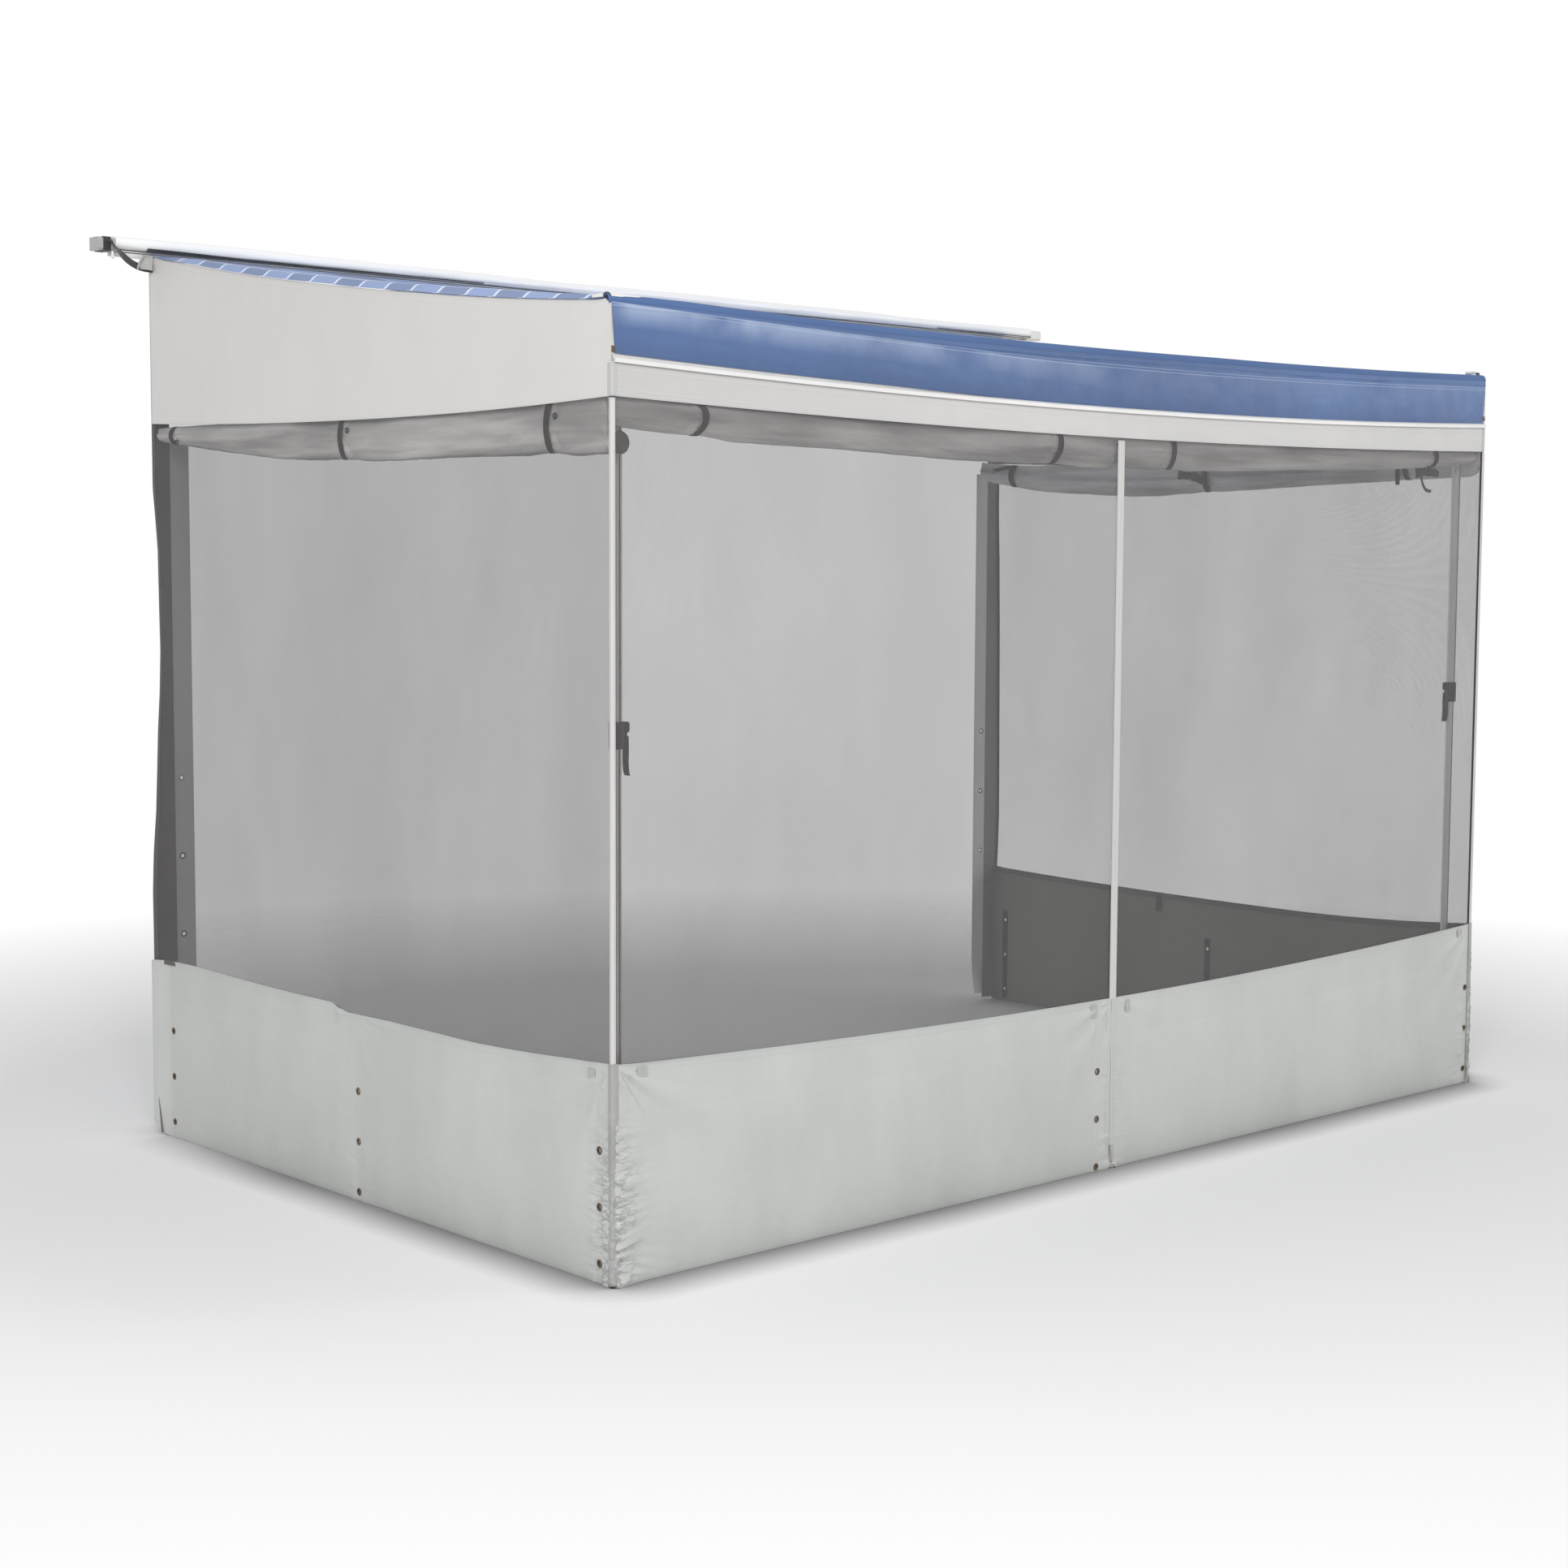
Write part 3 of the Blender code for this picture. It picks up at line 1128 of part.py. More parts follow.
def rafters():
    """Each inner tube is hinged to the beam; the outer one slides on it and holds the lock."""
    length = rafter_length()
    back = BEAM_BACK + SEAT_GAP
    bore = RAFTER_INNER_RADIUS + SLIDE_CLEARANCE
    start = RAFTER_OUTER_START - LOCK_LEAD
    end = start + LOCK_LENGTH
    tip_radius = bore + 0.0004
    neck_profile = [(0.0, -0.014), (0.0075, -0.014), (0.0098, 0.006), (0.0098, 0.030), (0.0, 0.030)]
    lock_profile = [
        (bore, start), (LOCK_RADIUS - 0.001, start), (LOCK_RADIUS, start + 0.001),
        (LOCK_RADIUS, end - 0.001), (LOCK_RADIUS - 0.001, end), (bore, end)]
    seat_profile = [(0.0, 0.0), (0.0085, 0.0), (0.0085, -0.0045), (0.0, -0.0045)]
    tip_profile = [
        (0.0, length - 0.030), (tip_radius, length - 0.030), (tip_radius, length - 0.003),
        (tip_radius - 0.004, length + 0.004), (0.0, length + 0.006)]
    for word, side in SIDES:
        place = rafter_axis(side)
        front, rear = rafter_ends(side)
        inner = tube(RAFTER_INNER_RADIUS, TUBE_WALL, 0.012, RAFTER_INNER_END, place)
        made = add_object("rafter_inner_" + word, inner, white_metal(), front)
        lug = box(
            (front.x - LUG_HALF_WIDTH, back, RAFTER_FRONT_Z - LUG_DROP),
            (front.x + LUG_HALF_WIDTH, back + LUG_THICKNESS, RAFTER_FRONT_Z + LUG_RISE))
        combine(made, add_object("lug_" + word, lug, white_metal()), "UNION")
        neck = turned(neck_profile, place)
        combine(made, add_object("neck_" + word, neck, white_metal()), "UNION")
        wall = RAFTER_OUTER_RADIUS - bore
        outer = tube(RAFTER_OUTER_RADIUS, wall, RAFTER_OUTER_START, length - 0.004, place)
        made = add_object("rafter_outer_" + word, outer, white_metal(), rear)
        lock = turned(lock_profile, place)
        combine(made, add_object("lock_" + word, lock, dark_plastic()), "UNION")
        seat = turned(seat_profile, knob_frame(side) @ Matrix.Translation((0.0, 0.0, -SEAT_GAP)))
        combine(made, add_object("knob_seat_" + word, seat, dark_plastic()), "UNION")
        tip = turned(tip_profile, place)
        combine(made, add_object("tip_" + word, tip, dark_plastic()), "UNION")


def knob_frame(side):
    """A frame on the lock collar's underside, its Z pointing away from the tube."""
    middle = RAFTER_OUTER_START - LOCK_LEAD + LOCK_LENGTH / 2
    place = rafter_axis(side) @ Matrix.Translation((0.0, 0.0, middle))
    turn = Matrix.Rotation(math.radians(-90.0), 4, "X")
    return place @ turn @ Matrix.Translation((0.0, 0.0, LOCK_RADIUS + 0.002))


def rafter_knobs():
    """Lobed hand knobs under the lock collars."""
    for word, side in SIDES:
        outline = []
        for i in range(30):
            angle = 2 * math.pi * i / 30
            radius = KNOB_RADIUS * (1.0 - 0.09 * (1.0 + math.cos(6 * angle)) / 2)
            outline.append((radius * math.cos(angle), radius * math.sin(angle)))
        place = knob_frame(side)
        pivot = place.translation
        add_object("rafter_knob_" + word, prism(outline, 0.0, KNOB_HEIGHT, place), dark_plastic(), pivot)


def wall_brackets():
    """A plate with an open trough in which the rafter's rear end rests."""
    inner = RAFTER_OUTER_RADIUS + SEAT_GAP
    outer = inner + CRADLE_WALL
    end = rafter_length() + RAFTER_REAR_GAP
    outline = arc((0.0, 0.0), inner, 180.0, 0.0, 10) + [(inner, CRADLE_LIP), (outer, CRADLE_LIP)]
    outline += arc((0.0, 0.0), outer, 0.0, 180.0, 10) + [(-outer, CRADLE_LIP), (-inner, CRADLE_LIP)]
    for word, side in SIDES:
        x = side * (HALF - RAFTER_INSET)
        bm = box(
            (x - BRACKET_HALF_WIDTH, ROOM_DEPTH - PLATE_THICKNESS, RAFTER_REAR_Z - BRACKET_DROP),
            (x + BRACKET_HALF_WIDTH, ROOM_DEPTH, RAIL_FOOT - 0.002))
        bracket = add_object("wall_bracket_" + word, bm, white_metal())
        trough = prism(outline, end - CRADLE_LENGTH, end + 0.001, rafter_axis(side))
        combine(bracket, add_object("trough_" + word, trough, white_metal()), "UNION")


def clear_scene():
    for old in list(bpy.data.objects):
        bpy.data.objects.remove(old, do_unlink=True)


def build():
    clear_scene()
    wall_rail()
    end_housings()
    storage_bag()
    bag_strap()
    canopy()
    front_valance()
    front_beam()
    header_band()
    gables()
    corner_returns()
    screens()
    skirts()
    wall_seals()
    rolled_curtains()
    zips()
    zip_sliders()
    wall_brackets()
    rafters()
    rafter_knobs()
    leg_brackets()
    leg_heads()
    leg_tubes()
    leg_clamps()
    leg_levers()


build()
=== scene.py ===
from math import atan2, copysign, cos, exp, hypot, pi, radians, sin, sqrt

import bmesh
import bpy
import numpy as np
from mathutils import Matrix, Vector, noise


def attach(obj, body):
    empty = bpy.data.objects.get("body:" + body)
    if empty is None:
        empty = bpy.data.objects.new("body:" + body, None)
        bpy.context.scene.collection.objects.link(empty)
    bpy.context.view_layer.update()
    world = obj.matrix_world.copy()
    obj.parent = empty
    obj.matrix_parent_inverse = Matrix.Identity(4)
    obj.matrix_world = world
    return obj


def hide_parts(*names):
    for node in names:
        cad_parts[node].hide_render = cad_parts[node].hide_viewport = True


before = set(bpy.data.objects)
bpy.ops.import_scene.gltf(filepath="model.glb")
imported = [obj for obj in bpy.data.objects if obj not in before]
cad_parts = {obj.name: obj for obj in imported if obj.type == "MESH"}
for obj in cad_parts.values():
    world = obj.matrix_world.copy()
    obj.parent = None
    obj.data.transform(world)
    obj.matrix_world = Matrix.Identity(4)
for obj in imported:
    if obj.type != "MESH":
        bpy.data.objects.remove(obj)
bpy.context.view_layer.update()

# Sizes shared with the frame, in metres; room y = 0 is the front panels' plane
SHIFT = -1.06085
HALF = 1.7945
DEPTH = 2.134
RAIL_FRONT = DEPTH - 0.018
OUTER = 0.0023
TAPE_LAYER = OUTER + 0.0015
SIDE_END = 2.130
BEAM_DIP = 0.034
BEAM_FRONT = 0.004
BEAM_RADIUS = 0.016
BEAM_TOP_CENTRE = 2.282
BEAM_FOOT = 2.139
RAIL_LIP_TOP = 2.1505
WRAP_FOOT = 2.276
RAIL_FOOT = 2.5515
CANOPY_REAR_Z = 2.563
BAG_END = 1.9245
ROLL_TOP = 2.072
ROLL_MIDDLE = 0.0155
LEG_X = 1.7345
CENTRE_ZIP_X = -0.014
CENTRE_ZIP_TOP = 2.030
SIDES = (("left", -1.0), ("right", 1.0))
FRONT_HALVES = (("left", -HALF, CENTRE_ZIP_X - 0.0003), ("right", CENTRE_ZIP_X + 0.0003, HALF))
SIDE_ROLL = (0.006, SIDE_END - 0.012)

# Grommets, straps and thicknesses
SIDE_COLUMNS = (0.047, 1.075, 2.060)
GROMMET_HEIGHTS = (0.047, 0.182, 0.317)
FLAP_HEIGHTS = (0.590, 0.822, 1.054)
LEFT_MIDDLE_DROP = 0.023
CENTRE_DROP = 0.035
HOLE_RADIUS = 0.0058
LEFT_STRAPS = (0.244, 1.133, 2.024)
RIGHT_STRAPS = (0.272, 1.102, 2.007)
VINYL = 0.0016
NET = 0.0006
NET_COLOUR = (0.115, 0.109, 0.107)
SKIRT_COLOUR = (0.505, 0.520, 0.505)

# Profiles: places, then values there
CREST = ((-1.796, -1.551, -1.296, -0.884, -0.273, 0.425, 1.015, 1.779),
         (-0.0045, 0.0015, 0.0023, 0.0050, 0.0112, 0.0154, 0.0128, 0.0095))
EDGE = ((0.02, 0.05, 0.22, 0.48, 0.86, 1.19, 1.54, 1.91, 2.05, 2.11),
        (0.0105, 0.0135, 0.0130, 0.0110, 0.0072, 0.0055, 0.0060, 0.0040, 0.0060, 0.0))
HUMP = ((0.02, 0.25, 0.50, 1.30, 1.90, 2.11), (0.0, 0.004, 0.012, 0.016, 0.011, 0.0))
TRIM_Z = (0.0, 0.45, 0.60, 0.72, 0.84, 0.96, 1.08, 1.20, 1.31, 1.43, 1.72, 1.81, 1.90)
TRIM_LEFT = (-0.0210, -0.0205, -0.0206, -0.0210, -0.0160, -0.0060, -0.0010, 0.0036, 0.0110, 0.0155, 0.0130,
             0.0070, 0.0)
TRIM_RIGHT = (-0.0100, -0.0120, -0.0230, -0.0280, -0.0270, -0.0250, -0.0230, -0.0210, -0.0190, -0.0170,
              -0.0090, -0.0040, 0.0)
RIGHT_RISE = ((0.3, 0.62, 0.96, 1.45, 1.76), (0.0, 0.010, 0.016, 0.021, 0.030))
SKIRT_RISE = ((0.0, 0.17, 0.54, 0.71, 0.92, 1.125, 1.205, 1.38, 1.55, 1.93, 2.06, 2.13),
              (0.0020, 0.0055, 0.0039, 0.0061, 0.0062, 0.0010, 0.0175, 0.0139, 0.0115, 0.0087, 0.0030, 0.0))
VALANCE_RISE = ((-1.78, -0.9, -0.3), (0.004, 0.0030, -0.0030))
LANE_WIDTH = ((-1.3, -0.66), (1.0, 0.45))


def profile(at, table):
    return float(np.interp(at, *table))


def clamp(value, low=0.0, high=1.0):
    return min(max(value, low), high)


def bell(distance, width, power=2.0):
    """1 at no distance, falling off over the width."""
    return exp(-(distance / width) ** power)


def wander(x, y, z=0.0):
    """Smooth fixed noise from -1 to 1."""
    return noise.noise(Vector((x, y, z)))


def spread(low, high, cells):
    return [low + (high - low) * i / cells for i in range(cells + 1)]


def graded(low, high, fine, coarse, reach, marks):
    """Stations that are fine near the marks and coarse elsewhere."""
    made = [low]
    while made[-1] < high - fine:
        near = min(abs(made[-1] - mark) for mark in marks)
        made.append(made[-1] + fine + (coarse - fine) * min(near / reach, 1.0))
    made[-1] = high
    return made


# Node materials

class Signal:
    """An output of a shader node, which adds and multiplies like a number."""

    def __init__(self, tree, socket):
        self.tree, self.socket = tree, socket

    def through(self, kind, values, **settings):
        node = self.tree.nodes.new(kind)
        for key, value in settings.items():
            setattr(node, key, value)
        for slot, value in zip(node.inputs, (self, *values)):
            fill(slot, value)
        return Signal(self.tree, node.outputs[0])

    def do(self, operation, *others):
        return self.through("ShaderNodeMath", others, operation=operation)

    def ramp(self, *ends):
        """Map the first two ends' range onto the last two's, clamped."""
        return self.through("ShaderNodeMapRange", ends)

    def vary(self, low, middle, amount):
        """Turn low to 1 - low into the amount about a middle."""
        return self.ramp(low, 1.0 - low, middle - amount, middle + amount)

    def under(self, limit):
        return self.do("LESS_THAN", limit)

    def __add__(self, other):
        return self.do("ADD", other)

    def __sub__(self, other):
        return self.do("SUBTRACT", other)

    def __mul__(self, other):
        return self.do("MULTIPLY", other)

    def __abs__(self):
        return self.do("ABSOLUTE")


def fill(slot, value):
    """Link a signal to an input, or set its value."""
    if isinstance(value, Signal):
        value.tree.links.new(slot, value.socket)
    else:
        slot.default_value = value


def add(tree, kind, output=0, **values):
    """Add a node, set its properties and inputs by name, and return one of its outputs."""
    node = tree.nodes.new(kind)
    for key, value in values.items():
        if hasattr(node, key):
            setattr(node, key, value)
        else:
            fill(node.inputs[key], value)
    return Signal(tree, node.outputs[output])


def shade(made, **values):
    """Set or link the shader's inputs."""
    for key, value in values.items():
        fill(made.node_tree.nodes["Principled BSDF"].inputs[key.replace("_", " ")], value)


def new_material(name, colour, roughness, metallic=0.0):
    made = bpy.data.materials.new(name)
    made.use_nodes = True
    shade(made, Base_Color=(*colour, 1.0), Roughness=roughness, Metallic=metallic)
    return made, made.node_tree


def colour_of(made):
    """A finished look's tree and the signal of its colour."""
    slot = made.node_tree.nodes["Principled BSDF"].inputs["Base Color"]
    return made.node_tree, Signal(made.node_tree, slot.links[0].from_socket)


def highest(signals):
    total = signals[0]
    for signal in signals[1:]:
        total = total.do("MAXIMUM", signal)
    return total


def tint(colour, factor):
    """The colour times a factor."""
    return add(factor.tree, "ShaderNodeVectorMath", operation="SCALE", Vector=colour, Scale=factor)


def mix(factor, first, second):
    """From the first colour to the second; a mix node's colours are its inputs 6 and 7 and its output 2."""
    node = factor.tree.nodes.new("ShaderNodeMix")
    node.data_type = "RGBA"
    for index, value in ((0, factor), (6, first), (7, second)):
        fill(node.inputs[index], value if isinstance(value, Signal) else (*value, 1.0))
    return Signal(factor.tree, node.outputs[2])


def split(vector):
    node = vector.tree.nodes.new("ShaderNodeSeparateXYZ")
    fill(node.inputs[0], vector)
    return [Signal(vector.tree, output) for output in node.outputs]


def place_of(tree):
    return add(tree, "ShaderNodeTexCoord", "Object")


def cloud(tree, scale, detail=3.0, rough=0.5, stretch=(1.0, 1.0, 1.0)):
    """Object-space noise from 0 to 1."""
    placed = add(tree, "ShaderNodeMapping", Vector=place_of(tree), Scale=stretch)
    return add(tree, "ShaderNodeTexNoise", "Fac", Vector=placed, Scale=scale, Detail=detail, Roughness=rough)


def sheet_axes(tree, layer="UVMap"):
    return split(add(tree, "ShaderNodeUVMap", uv_map=layer))[:2]


def nearest_edge(tree):
    side, end = sheet_axes(tree, "edge")
    return side.do("MINIMUM", end)


def waves(signal, pitch):
    return (signal * (2 * pi / pitch)).do("SINE")


def dashes(signal, pitch, share):
    """1 over the first share of each pitch, and 0 over the rest."""
    return (signal * (1 / pitch)).do("FRACT").under(share)


def weave_height(tree, pitch=0.0016, pitch_up=0.0016):
    """A plain weave from the sheet's own measures, from 0 to 1."""
    along, up = sheet_axes(tree)
    return (waves(along, pitch) * waves(up, pitch_up)).do("MULTIPLY_ADD", 0.5, 0.5)


def stitch_mask(tree, insets):
    """Dashes of thread that run beside the sheet's edges at the insets."""
    side, end = sheet_axes(tree, "edge")
    along, up = sheet_axes(tree)
    lines = []
    for near, run in ((side, up), (end, along)):
        dash = dashes(run, 0.0042, 0.66)
        lines += [abs(near - inset).under(0.0006) * dash for inset in insets]
    return highest(lines)


def bump(made, *layers):
    """Chain of bumps: (height signal, strength, distance)."""
    tree = made.node_tree
    before = {}
    for height, strength, distance in layers:
        normal = add(tree, "ShaderNodeBump", Height=height, Strength=strength, Distance=distance, **before)
        before = {"Normal": normal}
    shade(made, Normal=normal)


def cloth_look(name, colour, roughness=0.55, crumple=0.5, insets=(0.006, 0.016), thread=1.12, dirt=0.06,
               patch=0.03, sheen=0.15, coat=0.0, drift=None, creases=0.0):
    """Coated or woven cloth: blotches, weave, fine crumple, stitched hems, soiled edges, painted light and
    fold shade.
    """
    made, tree = new_material(name, colour, roughness)
    near = nearest_edge(tree)
    weave = weave_height(tree)
    streak = cloud(tree, 9.0, 5.0, 0.6, (1.0, 1.0, 0.35)).vary(0.3, 1.0, patch / 2)
    tone = cloud(tree, 2.2, 4.0).vary(0.25, 1.0, patch) * streak * near.ramp(0.0, 0.012, 1.0 - dirt, 1.0)
    tone = tone * weave.vary(0.0, 1.0, 0.015)
    # painted light and shade: drift brightens or darkens the tone along the sheet
    if drift:
        tone = tone * sheet_axes(tree)[0].ramp(*drift)
    layers = [(weave, 0.10, 0.0003), (cloud(tree, 26.0, 6.0, 0.55), 0.30 * crumple, 0.006)]
    if creases:
        swell = cloud(tree, 6.0, 2.0, 0.45, (0.30, 0.30, 3.2))
        fine = cloud(tree, 9.0, 3.0, 0.5, (0.45, 0.45, 3.0))
        # painted shade and highlight on folds: the tone darkens and lightens with the fold noise
        tone = tone * swell.ramp(0.38, 0.60, 1.0 - creases, 1.0 + creases * 0.4)
        tone = tone * fine.vary(0.38, 1.0, creases * 0.3)
        layers += [(swell, 1.0, 0.020), (fine, 0.8, 0.010)]
    base = tint(colour, tone)
    if insets:
        stitches = stitch_mask(tree, insets)
        base = mix(stitches, base, tuple(min(c * thread, 1.0) for c in colour))
        layers += [(stitches, 0.5, 0.0005), (near.under(max(insets) + 0.003), 0.6, 0.0006)]
    shade(made, Base_Color=base, Roughness=cloud(tree, 14.0, 4.0).vary(0.3, roughness, 0.06),
          Sheen_Weight=sheen, Coat_Weight=coat)
    bump(made, *layers)
    return made


def mesh_look(name, cover, thin=0.0):
    """Open insect mesh: threads cover a share of it, less where the curtain hangs; wires show close up."""
    made, tree = new_material(name, NET_COLOUR, 0.6)
    wires = highest([abs(waves(axis, 0.0038)).do("MULTIPLY_ADD", -1.0, 1.0) for axis in sheet_axes(tree)])
    alpha = wires.do("MULTIPLY_ADD", 0.26, cover - 0.15)
    alpha = alpha + cloud(tree, 3.0, 3.0, 0.5, (1.0, 1.0, 0.5)).vary(0.3, 0.0, 0.02)
    if thin:
        alpha = alpha - sheet_axes(tree, "curtain")[0].ramp(0.001, 0.007, 0.0, cover - thin)
    tone = cloud(tree, 5.0, 5.0, 0.6, (1.0, 1.0, 0.4)).vary(0.3, 1.0, 0.06)
    hem = nearest_edge(tree).under(0.010)
    shade(made, Alpha=highest([alpha, hem * 0.97]), Base_Color=tint(NET_COLOUR, tone))
    bump(made, (wires, 0.25, 0.0004))
    return made


def webbing_look(name, colour):
    """Woven webbing with ribs along its run."""
    made, tree = new_material(name, colour, 0.75)
    height = weave_height(tree, 0.0016, 0.0022)
    tone = height.vary(0.0, 1.0, 0.2) * cloud(tree, 30.0, 4.0).vary(0.3, 1.0, 0.15)
    shade(made, Base_Color=tint(colour, tone), Sheen_Weight=0.2)
    bump(made, (height, 0.4, 0.0004))
    return made


def hard_look(name, colour, roughness, metallic=0.0, grain=0.02, orange_peel=0.12, wear=0.04, stretch=1.0):
    """Paint, metal or moulded plastic: tone drift, fine grain in the gloss and a light texture."""
    made, tree = new_material(name, colour, roughness, metallic)
    scale = (1.0, 1.0, stretch)
    gloss = cloud(tree, 60.0, 4.0, 0.6, scale).vary(0.3, roughness, 3 * grain)
    tone = cloud(tree, 8.0, 5.0, 0.55, scale).vary(0.3, 1.0, wear)
    shade(made, Base_Color=tint(colour, tone), Roughness=gloss)
    bump(made, (cloud(tree, 900.0, 2.0), orange_peel, 0.0002))
    return made


def canopy_look(across=0.352, up_pitch=0.118):
    """Blue sheeting with a pale checked grid on the roof, plain in front; the roof's lighter blue is partly
    painted sheen.
    """
    made, tree = new_material("canopy_vinyl", (0.270, 0.345, 0.550), 0.62)
    along, up = sheet_axes(tree)
    first = along + (across - 0.042)
    roof = up.do("GREATER_THAN", 0.11)
    lines = highest([dashes(first, across, 0.005 / across), dashes(up, up_pitch, 0.010 / up_pitch)]) * roof
    check = abs(dashes(first, across, 0.5) - dashes(up, 2 * up_pitch, 0.5))
    blotch = cloud(tree, 3.0, 5.0).vary(0.3, 1.0, 0.07)
    # partly print and partly painted sheen: the roof's blue is lighter than the front's
    checked = tint((0.270, 0.345, 0.550), blotch * check.ramp(0.0, 1.0, 0.84, 1.12))
    base = mix(roof, tint((0.085, 0.150, 0.320), blotch), checked)
    shade(made, Base_Color=mix(lines, base, (0.72, 0.78, 0.92)), Specular_IOR_Level=0.2)
    bump(made, (weave_height(tree), 0.1, 0.0003), (cloud(tree, 12.0, 5.0), 0.25, 0.008))
    return made


def valance_look(colour=(0.070, 0.128, 0.282), pale_blue=(0.380, 0.455, 0.620)):
    """The drop's vinyl: a painted highlight along and below its crease, painted shade towards its foot, two
    pale seam lines near its top and stitching along its edges.
    """
    # the drift here is painted light, up to a quarter brighter towards the right end
    made = cloth_look("valance_vinyl", colour, 0.52, 1.2, patch=0.14, insets=(0.008, 0.012), thread=1.3,
                      sheen=0.02, drift=(1.6, 3.5, 1.0, 1.24))
    tree, plain = colour_of(made)
    along, up = sheet_axes(tree)
    # painted highlight: a pale band along and just below the crease, patchy and strongest to the left
    below = cloud(tree, 2.4, 2.0).do("MULTIPLY_ADD", 0.030, 0.096) - up
    ridge = below.ramp(-0.004, 0.0, 0.0, 1.0) * below.ramp(0.0, 0.055, 1.0, 0.0) * 0.85
    ridge = abs(below).ramp(0.0, 0.004, 1.0, 0.0).do("MULTIPLY_ADD", 0.25, ridge)
    ridge = ridge * along.ramp(0.01, 0.05, 0.3, 1.0) * along.ramp(0.25, 2.2, 0.95, 0.12)
    patches = [cloud(tree, 5.0, 3.0).ramp(0.40, 0.60, 0.0, 1.0), along.ramp(0.14, 0.34, 1.0, 0.0)]
    base = mix(ridge * highest(patches), plain, pale_blue)
    seams = highest([abs(up - height).under(0.0011) for height in (0.1165, 0.1085)])
    base = mix(seams * 0.45, base, pale_blue)
    # painted shade: the colour darkens towards the drop's foot
    shade(made, Base_Color=mix(up.ramp(0.0, 0.045, 0.30, 0.0), base, tuple(c * 0.62 for c in colour)))
    return made


def skirt_look(name, pucker):
    """Skirt vinyl whose start, at a sewn seam, has painted shade in pucker streaks up to about its middle
    height.
    """
    made = cloth_look(name, SKIRT_COLOUR, 0.50, crumple=0.8, patch=0.065, thread=1.0)
    tree, plain = colour_of(made)
    along, up = sheet_axes(tree)
    # painted shade: dark streaks in the pucker creases near the seam; pucker sets how dark they are
    ridge = abs(cloud(tree, 17.0, 4.0, 0.6, (1.0, 1.0, 3.6)) - 0.5).ramp(0.0, 0.070, pucker, 0.0)
    reach = along.ramp(0.012, 0.095, 1.0, 0.0) * up.ramp(0.24, 0.46, 1.0, 0.0)
    shade(made, Base_Color=mix(ridge * reach, plain, tuple(c * 0.45 for c in SKIRT_COLOUR)))
    return made


def leg_look():
    """Satin paint on the legs, with a painted shade line for the groove down the middle of the front face."""
    made = hard_look("satin_leg_paint", (0.90, 0.90, 0.89), 0.36, 0.35, stretch=0.15)
    tree, plain = colour_of(made)
    # painted shade: a dark line that stands for the shaded recess of a groove
    groove = abs(abs(split(place_of(tree))[0]) - LEG_X).under(0.0022)
    shade(made, Base_Color=mix(groove, plain, (0.16, 0.16, 0.155)))
    return made


